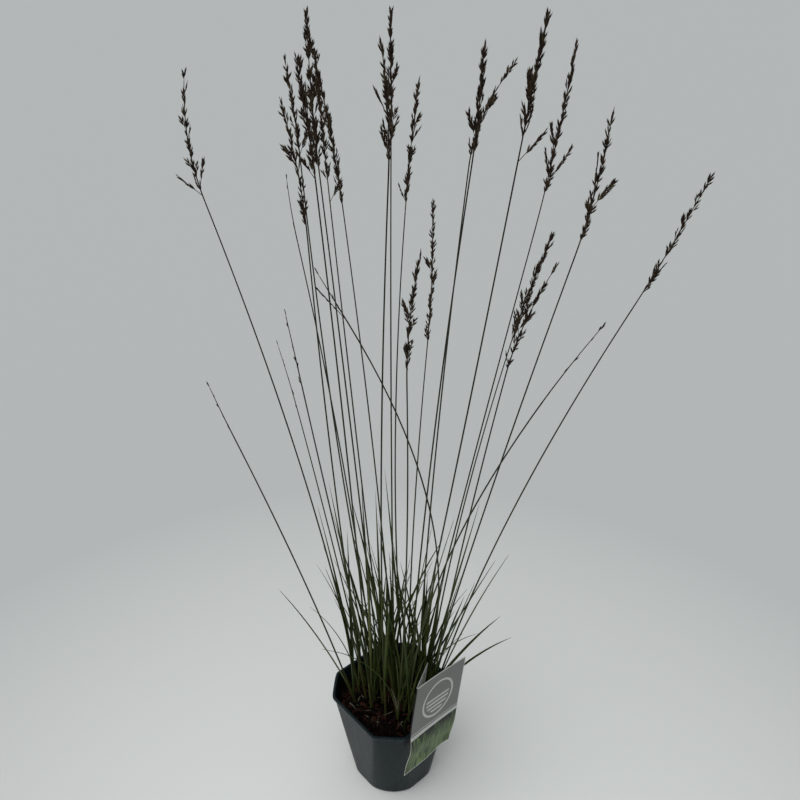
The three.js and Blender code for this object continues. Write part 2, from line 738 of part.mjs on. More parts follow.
// A side branch: bare at first, then with spikelets to its end.
function growArm(owner, culm, kind, random, [share, length, bearing, angle]) {
  const root = rachisPoint(culm, share);
  const ahead = offRachis(culm, share, bearing, angle);
  const steps = Math.max(2, Math.round(length / kind.spacing) - 1);
  const path = Array.from({ length: steps + 1 }, (_, i) =>
    root.clone().addScaledVector(ahead, (i * (length - kind.size)) / steps),
  );
  const spikelets = path.slice(1).map((_, i) => (i < steps * 0.3 ? null : drawSpikelet(kind, random)));
  const end = drawSpikelet(kind, random);
  if (!hasRoom(owner, [path[1], root.clone().addScaledVector(ahead, length)], 2 * kind.girth)) return [];
  place(owner, [root, root.clone().addScaledVector(ahead, length)], 2 * kind.girth);
  return [spray(path, path.map(() => rachis.armRadius), spikelets, end)];
}

function makePanicle(culm, number) {
  const owner = nodeName("panicle", number);
  const random = seededRandom(900 + number);
  const kind = headKinds[culm.kind];
  const path = rachisPath(culm);
  const steps = path.length - 1;
  const radii = path.map((_, i) => mix(rachis.rootRadius, rachis.tipRadius, i / steps));
  const spikelets = path.slice(1).map((_, i) => {
    const drawn = drawSpikelet(kind, random);
    const gap = random() < kind.gaps;
    return i === 0 || i < (culm.bare ?? 0) * steps || gap ? null : drawn;
  });
  const pieces = [spray(path, radii, spikelets, drawSpikelet(kind, random))];
  for (const [share, length, bearing, angle] of culm.arms ?? []) {
    const arm = [share + 0.03, length, radians(bearing), radians(angle)];
    pieces.push(...growArm(owner, culm, kind, random, arm));
  }
  const more = Math.max(0, kind.arms - (culm.arms ?? []).length);
  for (let i = 0; i < more; i++) {
    const arm = [
      mix(0.12, 0.75, (i + random()) / more),
      between(random, kind.armLength),
      2 * Math.PI * random(),
      radians(between(random, [10, 24])),
    ];
    pieces.push(...growArm(owner, culm, kind, random, arm));
  }
  return fuse(pieces);
}

// Scene

function nodeName(kind, number, digits = 2) {
  return kind + "_" + String(number).padStart(digits, "0");
}

const finishes = {
  pot: { color: 0x2e3b3b, roughness: 0.45, metalness: 0 },
  soil: { color: 0x2a1a12, roughness: 1, metalness: 0 },
  label: { color: 0x626462, roughness: 0.4, metalness: 0 },
  culm: { color: 0x3f4f22, roughness: 0.6, metalness: 0 },
  tuft: { color: 0x44602a, roughness: 0.6, metalness: 0 },
  panicle: { color: 0x33231d, roughness: 0.8, metalness: 0 },
};

function meshOf(name, solid, finish) {
  const { numProp, numVert, vertProperties, triVerts } = solid.getMesh();
  const position = new Float32Array(numVert * 3);
  for (let i = 0; i < numVert; i++) {
    position.set(vertProperties.subarray(i * numProp, i * numProp + 3), i * 3);
  }
  const geometry = new THREE.BufferGeometry()
    .setAttribute("position", new THREE.BufferAttribute(position, 3))
    .setIndex(new THREE.BufferAttribute(new Uint32Array(triVerts), 1));
  geometry.computeVertexNormals();
  const mesh = new THREE.Mesh(geometry, new THREE.MeshStandardMaterial(finishes[finish]));
  mesh.name = name;
  return mesh;
}

const plant = new THREE.Group();

placeLabel();
placeLip();
culms.forEach((culm, i) => place(nodeName("culm", i + 1), stemPath(culm), 1.5));
culms.forEach((culm, i) => place(nodeName("panicle", i + 1), rachisPath(culm), 1));

plant.add(meshOf("pot", makePot(), "pot"));
plant.add(meshOf("soil", makeSoil(), "soil"));
plant.add(meshOf("label", makeLabel(), "label"));
tufts.forEach((tuft, i) => {
  plant.add(meshOf(nodeName("tuft", i + 1, 1), makeTuft(tuft, i + 1), "tuft"));
});
culms.forEach((culm, i) => {
  plant.add(meshOf(nodeName("culm", i + 1), makeCulm(culm, i + 1), "culm"));
});
culms.forEach((culm, i) => {
  plant.add(meshOf(nodeName("panicle", i + 1), makePanicle(culm, i + 1), "panicle"));
});

export default plant;
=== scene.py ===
# A purple moor grass in flower in its nursery pot. The plant grows by the same rules as
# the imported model, in millimetres, and each piece is brought to metres when it is done.
import math

import bmesh
import bpy
from mathutils import Matrix, Vector, noise


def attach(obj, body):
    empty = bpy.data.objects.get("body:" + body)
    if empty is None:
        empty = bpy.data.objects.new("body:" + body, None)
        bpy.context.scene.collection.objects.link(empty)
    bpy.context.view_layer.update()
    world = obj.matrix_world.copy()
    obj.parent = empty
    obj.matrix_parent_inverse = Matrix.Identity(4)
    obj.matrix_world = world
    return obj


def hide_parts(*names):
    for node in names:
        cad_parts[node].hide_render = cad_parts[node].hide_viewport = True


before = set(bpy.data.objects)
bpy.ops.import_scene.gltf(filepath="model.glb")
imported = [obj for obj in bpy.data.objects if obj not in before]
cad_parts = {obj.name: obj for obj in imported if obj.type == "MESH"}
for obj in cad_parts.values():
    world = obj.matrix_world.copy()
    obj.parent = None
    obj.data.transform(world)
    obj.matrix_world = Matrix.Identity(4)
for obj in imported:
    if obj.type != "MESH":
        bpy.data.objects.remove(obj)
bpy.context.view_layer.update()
print("frame loaded:", len(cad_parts), "nodes")

mm = 0.001


def mix(low, high, share):
    return low + (high - low) * share


def evenly(low, high, steps):
    return [mix(low, high, i / steps) for i in range(steps + 1)]


def ease(share):
    share = min(1.0, max(0.0, share))
    return share * share * (3 - 2 * share)


# One direction turned towards another, at a right angle to it, by an angle.
def swing(first, second, angle):
    return first * math.cos(angle) + second * math.sin(angle)


def addObject(name, data):
    made = bpy.data.objects.new(name, data)
    bpy.context.scene.collection.objects.link(made)
    return made


def meshFrom(bm, name):
    mesh = bpy.data.meshes.new(name)
    bm.to_mesh(mesh)
    bm.free()
    return mesh


# Camera, floor and light

view = {
    "eye": (0.009, -0.743, 1.02),
    "pitch": 29.9,  # degrees below level
    "lens": 36,
    "sensor": 36,
}
studio = {
    "floorSize": 120,
    # The floor is painted paler in a broad pool round the pot, a painted pool of light, and is an even
    # grey beyond it.
    "floorInPaintedLight": (0.82, 0.832, 0.812),
    "floorFar": (0.565, 0.577, 0.572),
    "paintedLightCentre": (0, -0.25, 0),  # metres
    "paintedLightFade": (0.26, 0.92),  # metres from its centre, where the painted pool of light starts to fade and ends
    "skyColour": (0.93, 0.97, 0.98),
    "skyStrength": 0.5,
    "keyLight": {"towards": (0.75, 0.45, -1.35), "strength": 1.22, "angle": 70},
}


def makeCamera():
    camera = addObject("camera", bpy.data.cameras.new("camera"))
    camera.data.lens = view["lens"]
    camera.data.sensor_width = view["sensor"]
    camera.location = view["eye"]
    camera.rotation_euler = (math.radians(90 - view["pitch"]), 0, 0)
    bpy.context.scene.camera = camera


def makeFloor():
    bm = bmesh.new()
    bmesh.ops.create_grid(bm, x_segments=1, y_segments=1, size=studio["floorSize"] / 2)
    floor = addObject("floor", meshFrom(bm, "floor"))
    # Painted pool of light: the floor's colour is paler near the pot and fades to the plain grey further
    # out.
    material, tree = newMaterial("floorWithPaintedLight")
    centre = studio["paintedLightCentre"]
    away = addNode(tree, "ShaderNodeVectorMath", {0: objectPlace(tree), 1: centre}, operation="DISTANCE")
    outOfPaintedLight = spread(tree, away.outputs["Value"], *studio["paintedLightFade"])
    colour = blend(tree, outOfPaintedLight, studio["floorInPaintedLight"], studio["floorFar"])
    floor.data.materials.append(finishMaterial(material, colour, 0.9, 0.2))


# One very broad light, high at the front left, with the pale sky for its fill.
def makeLight():
    key = studio["keyLight"]
    light = bpy.data.lights.new("keyLight", "SUN")
    light.angle = math.radians(key["angle"])
    light.energy = key["strength"]
    lamp = addObject("keyLight", light)
    lamp.rotation_euler = Vector(key["towards"]).to_track_quat("-Z", "Y").to_euler()
    world = bpy.data.worlds.new("paleRoom")
    world.use_nodes = True
    sky = {"Color": studio["skyColour"], "Strength": studio["skyStrength"]}
    setInputs(world.node_tree, world.node_tree.nodes["Background"], sky)
    bpy.context.scene.world = world
    bpy.context.scene.view_settings.view_transform = "Standard"


# Shader helpers

# Links a socket to each named input of a node, or sets a plain value on it.
def setInputs(tree, node, inputs):
    for name, value in inputs.items():
        socket = node.inputs[name]
        if isinstance(value, bpy.types.NodeSocket):
            tree.links.new(value, socket)
        else:
            socket.default_value = (*value, 1) if socket.type == "RGBA" else value


def addNode(tree, kind, inputs=None, **settings):
    node = tree.nodes.new(kind)
    for name, value in settings.items():
        setattr(node, name, value)
    setInputs(tree, node, inputs or {})
    return node


def addMath(tree, operation, *values):
    return addNode(tree, "ShaderNodeMath", dict(enumerate(values)), operation=operation).outputs[0]


def product(tree, result, *others):
    for value in others:
        result = addMath(tree, "MULTIPLY", result, value)
    return result


def stretched(tree, place, factors):
    return addNode(tree, "ShaderNodeVectorMath", {0: place, 1: factors}, operation="MULTIPLY").outputs[0]


def axesOf(tree, vector):
    return addNode(tree, "ShaderNodeSeparateXYZ", {0: vector}).outputs


def blend(tree, share, first, second):
    return addNode(tree, "ShaderNodeMix", {0: share, 6: first, 7: second}, data_type="RGBA").outputs[2]


def spread(tree, value, low, high, newLow=0.0, newHigh=1.0):
    inputs = {"Value": value, "From Min": low, "From Max": high, "To Min": newLow, "To Max": newHigh}
    return addNode(tree, "ShaderNodeMapRange", inputs).outputs[0]


def objectPlace(tree):
    return addNode(tree, "ShaderNodeTexCoord").outputs["Object"]


def readMark(tree, name):
    return addNode(tree, "ShaderNodeAttribute", attribute_name=name).outputs["Fac"]


def noiseAt(tree, place, scale, detail=2.0):
    inputs = {"Vector": place, "Scale": scale, "Detail": detail}
    return addNode(tree, "ShaderNodeTexNoise", inputs).outputs[0]


def newMaterial(name):
    material = bpy.data.materials.new(name)
    material.use_nodes = True
    return material, material.node_tree


# Fills the shader in. The relief is a bump's height, strength and distance.
def finishMaterial(material, colour, roughness, specular, relief=None):
    tree = material.node_tree
    inputs = {"Base Color": colour, "Roughness": roughness, "Specular IOR Level": specular}
    if relief:
        bump = dict(zip(("Height", "Strength", "Distance"), relief))
        inputs["Normal"] = addNode(tree, "ShaderNodeBump", bump).outputs[0]
    setInputs(tree, tree.nodes["Principled BSDF"], inputs)
    return material


# Places a shared group, whose patterns all lie on the piece's own coordinates.
def useGroup(tree, group, **values):
    values["Place"] = objectPlace(tree)
    return addNode(tree, "ShaderNodeGroup", values, node_tree=group).outputs


def newGroup(name, inputs, outputs):
    group = bpy.data.node_groups.new(name, "ShaderNodeTree")
    for direction, sockets in (("INPUT", inputs), ("OUTPUT", outputs)):
        for socket, kind in sockets.items():
            group.interface.new_socket(socket, in_out=direction, socket_type="NodeSocket" + kind)
    return group, addNode(group, "NodeGroupInput").outputs, addNode(group, "NodeGroupOutput").inputs


# Colour that drifts lighter and darker over a surface.
def makeDrift():
    group, given, out = newGroup(
        "colourDrift",
        {"Colour": "Color", "Place": "Vector", "Scale": "Float", "Amount": "Float"},
        {"Colour": "Color", "Mask": "Float"},
    )
    patches = noiseAt(group, given["Place"], given["Scale"], 4.0)
    darkest = addMath(group, "SUBTRACT", 1.0, given["Amount"])
    lightest = addMath(group, "ADD", 1.0, given["Amount"])
    factor = spread(group, patches, 0.3, 0.7, darkest, lightest)
    inputs = {0: given["Colour"], "Scale": factor}
    scaled = addNode(group, "ShaderNodeVectorMath", inputs, operation="SCALE")
    group.links.new(scaled.outputs[0], out["Colour"])
    group.links.new(spread(group, patches, 0.3, 0.7), out["Mask"])
    return group


# Fine ribs that run up a plant part, and the paler and darker streaks between them.
def makeFibres():
    group, given, out = newGroup(
        "plantFibres", {"Place": "Vector", "Fineness": "Float"}, {"Height": "Float", "Streak": "Float"}
    )
    tall = stretched(group, given["Place"], (1.0, 1.0, 0.035))
    broad = noiseAt(group, tall, addMath(group, "MULTIPLY", given["Fineness"], 0.3))
    group.links.new(noiseAt(group, tall, given["Fineness"], 3.0), out["Height"])
    group.links.new(spread(group, broad, 0.35, 0.65), out["Streak"])
    return group


# Dust and dried splashes that lie thickest on what faces up.
def makeDust():
    group, given, out = newGroup(
        "settledDust",
        {"Colour": "Color", "Dust": "Color", "Place": "Vector", "Scale": "Float", "Amount": "Float"},
        {"Colour": "Color", "Mask": "Float"},
    )
    normal = addNode(group, "ShaderNodeNewGeometry").outputs["Normal"]
    lying = spread(group, axesOf(group, normal)[2], -0.2, 0.9, 0.35, 1.0)
    specks = spread(group, noiseAt(group, given["Place"], given["Scale"], 6.0), 0.48, 0.72)
    mask = product(group, specks, lying, given["Amount"])
    group.links.new(blend(group, mask, given["Colour"], given["Dust"]), out["Colour"])
    group.links.new(mask, out["Mask"])
    return group


# Edges that are rubbed pale.
def makeWear():
    group, given, out = newGroup(
        "edgeWear",
        {"Colour": "Color", "Worn": "Color", "Place": "Vector", "Amount": "Float"},
        {"Colour": "Color"},
    )
    sharpness = addNode(group, "ShaderNodeNewGeometry").outputs["Pointiness"]
    edge = spread(group, sharpness, 0.505, 0.56)
    broken = spread(group, noiseAt(group, given["Place"], 240.0, 3.0), 0.35, 0.6, 0.35, 1.0)
    mask = product(group, edge, broken, given["Amount"])
    group.links.new(blend(group, mask, given["Colour"], given["Worn"]), out["Colour"])
    return group


makeCamera()
makeFloor()
makeLight()
colourDrift = makeDrift()
plantFibres = makeFibres()
settledDust = makeDust()
edgeWear = makeWear()
print("camera, studio and shader groups ready")


# Mesh helpers

def newShape():
    bm = bmesh.new()
    bm.verts.layers.int.new("corner")
    for mark in ("along", "across", "tint"):
        bm.verts.layers.float.new(mark)
    return bm


# Brings a finished shape to metres, makes it a piece of the object and hands back the piece.
def finishPiece(bm, name, materials, nodes=(), sharpAngle=50):
    bmesh.ops.recalc_face_normals(bm, faces=bm.faces)
    bmesh.ops.scale(bm, vec=(mm, mm, mm), verts=bm.verts)
    mesh = meshFrom(bm, name)
    mesh.shade_smooth()
    mesh.set_sharp_from_angle(angle=math.radians(sharpAngle))
    for material in materials:
        mesh.materials.append(material)
    piece = addObject(name, mesh)
    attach(piece, "root")
    if nodes:
        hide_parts(*nodes)
    return piece


# Gives the faces made since they were counted another of the piece's materials.
def paintSince(bm, count, index):
    bm.faces.ensure_lookup_table()
    for face in bm.faces[count:]:
        face.material_index = index


# A side and an out direction at each point of a path, carried along so that they don't twist.
def framesAlong(points, firstSide):
    side = firstSide.copy()
    frames = []
    for i in range(len(points)):
        ahead = (points[min(i + 1, len(points) - 1)] - points[max(i - 1, 0)]).normalized()
        side = (side - ahead * side.dot(ahead)).normalized()
        frames.append((side.copy(), ahead.cross(side)))
    return frames


# Runs a closed outline along a path. Each section lists its corners as (side, out, across),
# and a section of None ends the sweep in a point.
def sweep(bm, points, frames, sections, shares, tint):
    corner = bm.verts.layers.int["corner"]
    along, across, tinted = (bm.verts.layers.float[mark] for mark in ("along", "across", "tint"))
    count = len(sections[0])
    ring = bmesh.ops.create_circle(bm, segments=count, radius=1)["verts"]
    for k, vert in enumerate(ring):
        vert[corner] = k
    edges = list({edge for vert in ring for edge in vert.link_edges})
    bmesh.ops.contextual_create(bm, geom=edges)
    for i, point in enumerate(points):
        if i > 0:
            made = bmesh.ops.extrude_edge_only(bm, edges=edges)["geom"]
            ring = [part for part in made if isinstance(part, bmesh.types.BMVert)]
            ringSet = set(ring)
            edges = [
                part for part in made
                if isinstance(part, bmesh.types.BMEdge) and ringSet.issuperset(part.verts)
            ]
        side, out = frames[i]
        section = sections[i]
        for vert in ring:
            vert[along] = shares[i]
            vert[tinted] = tint
            if section is not None:
                a, b, edgeward = section[vert[corner]]
                vert.co = point + side * a + out * b
                vert[across] = edgeward
        if section is None:
            bmesh.ops.pointmerge(bm, verts=ring, merge_co=point)
            return
    bmesh.ops.contextual_create(bm, geom=edges)


def roundSection(radius, sides):
    turns = [2 * math.pi * k / sides for k in range(sides)]
    return [(radius * math.cos(t), radius * math.sin(t), math.cos(t)) for t in turns]


# A round stalk that is closed at both ends.
def sweepStalk(bm, points, radii, sides, tint, shares=None):
    frames = framesAlong(points, Vector((1, 0, 0)))
    sections = [roundSection(radius, sides) for radius in radii]
    shares = shares or evenly(0, 1, len(points) - 1)
    sweep(bm, points, frames, sections, shares, tint)


# More points along a path, on a smooth curve through the ones given.
def smoothPath(points, perStep):
    padded = [2 * points[0] - points[1], *points, 2 * points[-1] - points[-2]]
    smooth = []
    for i in range(1, len(padded) - 2):
        a, b, c, d = padded[i - 1 : i + 3]
        for k in range(perStep):
            t = k / perStep
            curve = 2 * b + (c - a) * t + (2 * a - 5 * b + 4 * c - d) * t**2
            smooth.append(0.5 * (curve + (3 * b - a - 3 * c + d) * t**3))
    return [*smooth, points[-1].copy()]


# The same numbers between 0 and 1 each time for the same seed.
def seededRandom(seed):
    state = seed
    whole = 0xFFFFFFFF

    def draw():
        nonlocal state
        state = (state + 0x6D2B79F5) & whole
        t = ((state ^ (state >> 15)) * (state | 1)) & whole
        t ^= (t + (((t ^ (t >> 7)) * (t | 61)) & whole)) & whole
        return (t ^ (t >> 14)) / (whole + 1)

    return draw


def between(draw, limits):
    return mix(*limits, draw())


# Nursery pot

pot = {
    "height": 145,
    "acrossFlats": 162,  # outside the lip, from front to back
    "shortSide": 40,  # the rim's sides at the front, back, left and right
    "cornerCut": 0.8,  # how far the rim's rounded corners stand inside sharp ones
    "turn": -3.5,  # degrees about +Z
    "baseRadius": 55.5,
    "longFoot": 53.5,  # how far the four long flats stand from the middle at the base
    "shieldLow": 70,  # where the four short flats run out into the round wall
    "softness": 1.5,  # how far the flats' borders are rounded
    "wall": 1.2,
    "lip": {"height": 4, "proud": 2.5, "round": 1.1},
    "drainHoles": {"count": 8, "radius": 5, "circle": 36, "sides": 24},
    "baseRings": (0, 12, 28, 44),  # radii of the points across the flat base and the floor over it
    "steps": 320,
    "rise": 44,
    "rimBand": 4,  # inside this, a level surface follows the wall's shape in proportion
    "seamShadeLine": {"middle": 0.002, "half": 0.0009, "fade": (0.030, 0.016)},  # metres
}
rimFlat = pot["acrossFlats"] / 2 - pot["lip"]["proud"]
rimHalfSide = pot["shortSide"] / 2 * rimFlat / (pot["acrossFlats"] / 2)
rimCorner = math.hypot(rimFlat, rimHalfSide) - pot["cornerCut"]
rimLongFlat = (rimFlat + rimHalfSide) / math.sqrt(2)


# The wall is a cone that is pressed flat on eight sides, four short and four long.
def coneAt(z):
    return mix(pot["baseRadius"], rimCorner, z / pot["height"])


def shieldAt(z):
    low = pot["shieldLow"]
    return mix(coneAt(low), rimFlat, (z - low) / (pot["height"] - low))


def longFlatAt(z):
    return mix(pot["longFoot"], rimLongFlat, z / pot["height"])


def softMin(a, b, softness):
    near = max(softness - abs(a - b), 0) / softness
    return min(a, b) - near * near * softness / 4


# The wall's distance from the middle in one direction, moved out or in by outset.
def wallReach(angle, z, outset):
    reach = coneAt(z) + outset
    for k in range(8):
        facing = math.cos(angle - math.radians(pot["turn"]) - k * math.pi / 4)
        if facing > 0.5:
            stand = (longFlatAt(z) if k % 2 else shieldAt(z)) + outset
            reach = softMin(reach, stand / facing, pot["softness"])
    return reach


# Spins a profile of (radius, height) round the middle and presses the eight flats into it.
def spinAndPress(profile, steps):
    bm = newShape()
    verts = [bm.verts.new((radius, 0, z)) for radius, z in profile]
    edges = [bm.edges.new(pair) for pair in zip(verts, verts[1:])]
    bmesh.ops.spin(
        bm, geom=verts + edges, cent=(0, 0, 0), axis=(0, 0, 1), dvec=(0, 0, 0),
        angle=2 * math.pi, steps=steps, use_merge=True, use_duplicate=False,
    )
    bmesh.ops.remove_doubles(bm, verts=bm.verts, dist=0.0005)
    for vert in bm.verts:
        radius, z = vert.co.xy.length, vert.co.z
        if radius < 1e-4:
            continue
        inner = coneAt(z) - pot["rimBand"]
        outset = max(radius, inner) - coneAt(z)
        reach = wallReach(math.atan2(vert.co.y, vert.co.x), z, outset)
        vert.co.xy *= reach * min(1.0, radius / inner) / radius
    return bm


# From the middle of the base up the outside, over the lip and down the inside to the floor.
def potProfile():
    height, wall, lip = pot["height"], pot["wall"], pot["lip"]
    lipBottom = height - lip["height"]
    proud, curve = lip["proud"], lip["round"]
    outside = [(z, 0) for z in evenly(2, lipBottom - 1.5, pot["rise"])]
    lipSide = [
        (lipBottom - 0.5, 0.25),
        (lipBottom, 1.2),
        (lipBottom + 0.1, proud - 0.6),
        (lipBottom + 0.6, proud - 0.1),
        (lipBottom + 1.4, proud),
        (height - curve, proud),
        (height - curve * 0.35, proud - curve * 0.3),
        (height, proud - curve),
        (height, 0.6 - wall),
        (height - 0.3, 0.1 - wall),
        (height - 1.0, -wall),
    ]
    inside = [(z, -wall) for z in evenly(height - 4, wall + 2.5, pot["rise"])]
    sides = [(coneAt(z) + outset, z) for z, outset in [*outside, *lipSide, *inside]]
    reach, radius, rings = coneAt(wall) - wall, pot["baseRadius"], pot["baseRings"]
    base = [*[(ring, 0) for ring in rings], (radius - 1.8, 0), (radius - 0.5, 0.5)]
    floor = [(reach - 0.6, wall + 0.6), (reach - 2.6, wall), *[(ring, wall) for ring in rings[::-1]]]
    return [*base, *sides, *floor]


# Smooth, slightly glossy plastic with a little dust, and the mould's seam low on the front, whose shallow
# groove is a thin dark line of painted shade.
def potPlastic():
    material, tree = newMaterial("potPlastic")
    place = objectPlace(tree)
    drifted = useGroup(tree, colourDrift, Colour=(0.0040, 0.0114, 0.0132), Scale=9.0, Amount=0.12)
    worn = useGroup(tree, edgeWear, Colour=drifted["Colour"], Worn=(0.030, 0.042, 0.046), Amount=0.4)
    dusty = useGroup(
        tree, settledDust, Colour=worn["Colour"], Dust=(0.085, 0.080, 0.070), Scale=60.0, Amount=0.02
    )
    parts = axesOf(tree, place)
    # The seam's shallow groove is not modelled: a thin dark line low on the front paints its shade.
    seamShadeLine = pot["seamShadeLine"]
    line = addMath(tree, "COMPARE", parts[0], seamShadeLine["middle"], seamShadeLine["half"])
    front = addMath(tree, "LESS_THAN", parts[1], 0.0)
    paintedSeamShade = product(tree, line, front, spread(tree, parts[2], *seamShadeLine["fade"]))
    colour = blend(tree, paintedSeamShade, dusty["Colour"], (0.0015, 0.0020, 0.0025))
    drawn = useGroup(tree, plantFibres, Fineness=700.0)
    rough = spread(tree, drawn["Streak"], 0.0, 1.0, 0.26, 0.32)
    rough = addMath(tree, "ADD", rough, addMath(tree, "MULTIPLY", dusty["Mask"], 0.6))
    grain = addMath(tree, "MULTIPLY", noiseAt(tree, place, 2600.0), 0.4)
    height = addMath(tree, "ADD", grain, drawn["Height"])
    return finishMaterial(material, colour, rough, 0.09, (height, 0.02, 0.0003))


# Cuts round holes by a Boolean that is applied, and takes the cutters away again.
def cutDrainHoles(piece):
    holes = pot["drainHoles"]
    bm = bmesh.new()
    for i in range(holes["count"]):
        turn = 2 * math.pi * (i + 0.5) / holes["count"]
        spot = Matrix.Translation((holes["circle"] * math.cos(turn), holes["circle"] * math.sin(turn), 0))
        bmesh.ops.create_cone(
            bm, cap_ends=True, segments=holes["sides"], radius1=holes["radius"], radius2=holes["radius"],
            depth=6 * pot["wall"], matrix=spot,
        )
    bmesh.ops.scale(bm, vec=(mm, mm, mm), verts=bm.verts)
    cutterMesh = meshFrom(bm, "drainCutter")
    cutter = addObject("drainCutter", cutterMesh)
    cut = piece.modifiers.new("drainHoles", "BOOLEAN")
    cut.operation = "DIFFERENCE"
    cut.solver = "EXACT"
    cut.object = cutter
    graph = bpy.context.evaluated_depsgraph_get()
    graph.update()
    drilled = bpy.data.meshes.new_from_object(piece.evaluated_get(graph))
    piece.modifiers.clear()
    piece.data = drilled
    bpy.data.objects.remove(cutter)
    bpy.data.meshes.remove(cutterMesh)


def makePot():
    bm = spinAndPress(potProfile(), pot["steps"])
    piece = finishPiece(bm, "nursery_pot", [potPlastic()], ["pot"], sharpAngle=60)
    cutDrainHoles(piece)
    print("nursery pot made")


# Potting mix, with the bark and straw that lie on it

soil = {
    "edgeLevel": 127,
    "middleLevel": 132,
    "sink": 0.8,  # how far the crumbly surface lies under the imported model's
    "hollow": 0.45,  # and how much further in its middle
    "gap": 0.6,  # between the mix and the pot's wall
    "floorGap": 0.3,
    "steps": 200,
    "rings": 52,
    "lumps": {"size": 9.0, "height": 1.32},
    "crumbs": {"size": 2.6, "height": 0.6},
}
chip = {
    "templates": (41, 42, 43, 44),  # a seed for each
    "roughness": 0.11,
    "bevel": 0.16,
    "slimness": (0.3, 0.7),
    "tip": (-28, 28),
}
bark = {
    "count": 420, "length": (2.5, 9.0), "flat": (0.12, 0.3), "lift": 0.05, "seed": 31,
    "bright": (0.034, 0.0112, 0.0062), "dull": (0.0034, 0.0020, 0.0014), "dulling": (0.6, 0.0, 1.0),
    "patches": 140.0, "drift": 0.7, "fineness": 1300.0,
    "roughness": 0.85, "specular": 0.08, "bump": (0.5, 0.0006),
}
crumb = {"count": 900, "length": (0.8, 2.2), "flat": (0.5, 0.8), "lift": 0.1, "seed": 32}
straw = {
    "count": 46, "length": (6, 24), "radius": (0.2, 0.5), "bow": (-0.15, 0.15), "points": 7, "seed": 33,
    "inset": 14, "wallGap": 3, "lift": 0.6,
    "bright": (0.20, 0.18, 0.125), "dull": (0.034, 0.023, 0.013), "dulling": (0.8, 0.0, 0.92),
    "patches": 200.0, "drift": 0.4, "fineness": 1800.0,
    "roughness": 0.7, "specular": 0.15, "bump": (0.4, 0.0004),
}


def soilHeight(x, y):
    away = Vector((x, y)).length / rimFlat
    level = mix(soil["middleLevel"], soil["edgeLevel"], min(1.0, away) ** 1.5)
    lumps, crumbs = soil["lumps"], soil["crumbs"]
    broad = noise.fractal(Vector((x, y, 3.0)) / lumps["size"], 1.0, 2.0, 3)
    fine = noise.fractal(Vector((x, y, 40.0)) / crumbs["size"], 0.8, 2.1, 3)
    sunk = soil["sink"] + soil["hollow"] * (1 - ease(away * 1.1))
    return level - sunk + broad * lumps["height"] + fine * crumbs["height"]


# The top is spun level, a little under its edge, and then raised to the crumbly surface.
def makeSoilBody():
    floor = pot["wall"] + soil["floorGap"]
    top = soil["edgeLevel"] - 1.5
    inset = pot["wall"] + soil["gap"]
    side = [(coneAt(z) - inset, z) for z in evenly(floor, top, 6)]
    surface = [(radius, top) for radius in evenly(coneAt(top) - inset, 0, soil["rings"])[1:]]
    bm = spinAndPress([(0, floor), (30, floor), *side, *surface], soil["steps"])
    for vert in bm.verts:
        if vert.co.z > top - 0.01:
            vert.co.z = soilHeight(vert.co.x, vert.co.y)
    return bm


# Dark potting mix with paler specks, its colour made near black as painted shade inside the pot.
def soilMixAndPaintedShade():
    material, tree = newMaterial("pottingMixAndPaintedShade")
    place = objectPlace(tree)
    drifted = useGroup(tree, colourDrift, Colour=(0.0024, 0.0013, 0.0008), Scale=170.0, Amount=0.6)
    specks = spread(tree, noiseAt(tree, place, 420.0, 3.0), 0.60, 0.72)
    colour = blend(tree, specks, drifted["Colour"], (0.015, 0.0056, 0.0034))
    return finishMaterial(material, colour, 0.95, 0.05, (noiseAt(tree, place, 900.0, 5.0), 0.7, 0.0012))


# Bark or straw, whose bits are bright or dull by their own tint.
def litterMaterial(name, look):
    material, tree = newMaterial(name)
    drifted = useGroup(
        tree, colourDrift, Colour=look["bright"], Scale=look["patches"], Amount=look["drift"]
    )
    dull = spread(tree, readMark(tree, "tint"), 0.0, *look["dulling"])
    colour = blend(tree, dull, drifted["Colour"], look["dull"])
    fibres = useGroup(tree, plantFibres, Fineness=look["fineness"])
    relief = (fibres["Height"], *look["bump"])
    return finishMaterial(material, colour, look["roughness"], look["specular"], relief)


# Copies of a small template mesh are added to a shape one by one.
def stamp(bm, template, place, tint):
    before = len(bm.verts)
    copy = template.copy()
    copy.transform(place)
    bm.from_mesh(copy)
    bpy.data.meshes.remove(copy)
    bm.verts.ensure_lookup_table()
    tinted = bm.verts.layers.float["tint"]
    for vert in bm.verts[before:]:
        vert[tinted] = tint


# A splinter of bark or a crumb: a bevelled block whose corners are knocked about.
def chipTemplate(seed):
    draw = seededRandom(seed)
    bm = newShape()
    bmesh.ops.create_cube(bm, size=1)
    bmesh.ops.bevel(
        bm, geom=list(bm.edges), offset=chip["bevel"], offset_type="OFFSET", affect="EDGES",
        segments=1, profile=0.5, material=-1,
    )
    limits = (-chip["roughness"], chip["roughness"])
    for vert in bm.verts:
        vert.co += Vector([between(draw, limits) for _ in range(3)])
    bmesh.ops.recalc_face_normals(bm, faces=bm.faces)
    return meshFrom(bm, "chipTemplate")


# A place on the soil, a little inside the pot's wall.
def soilSpot(draw, inset):
    turn = 2 * math.pi * draw()
    reach = (wallReach(turn, soil["edgeLevel"], -pot["wall"]) - inset) * math.sqrt(draw())
    return reach * math.cos(turn), reach * math.sin(turn)


def scatterChips(bm, templates, bits):
    draw = seededRandom(bits["seed"])
    for i in range(bits["count"]):
        length = between(draw, bits["length"])
        x, y = soilSpot(draw, 2 + length / 2)
        turned = Matrix.Rotation(2 * math.pi * draw(), 4, "Z")
        tipped = Matrix.Rotation(math.radians(between(draw, chip["tip"])), 4, "Y")
        width = length * between(draw, chip["slimness"])
        size = Matrix.Diagonal((length, width, length * between(draw, bits["flat"]), 1))
        spot = Matrix.Translation((x, y, soilHeight(x, y) + length * bits["lift"]))
        stamp(bm, templates[i % len(templates)], spot @ turned @ tipped @ size, draw())


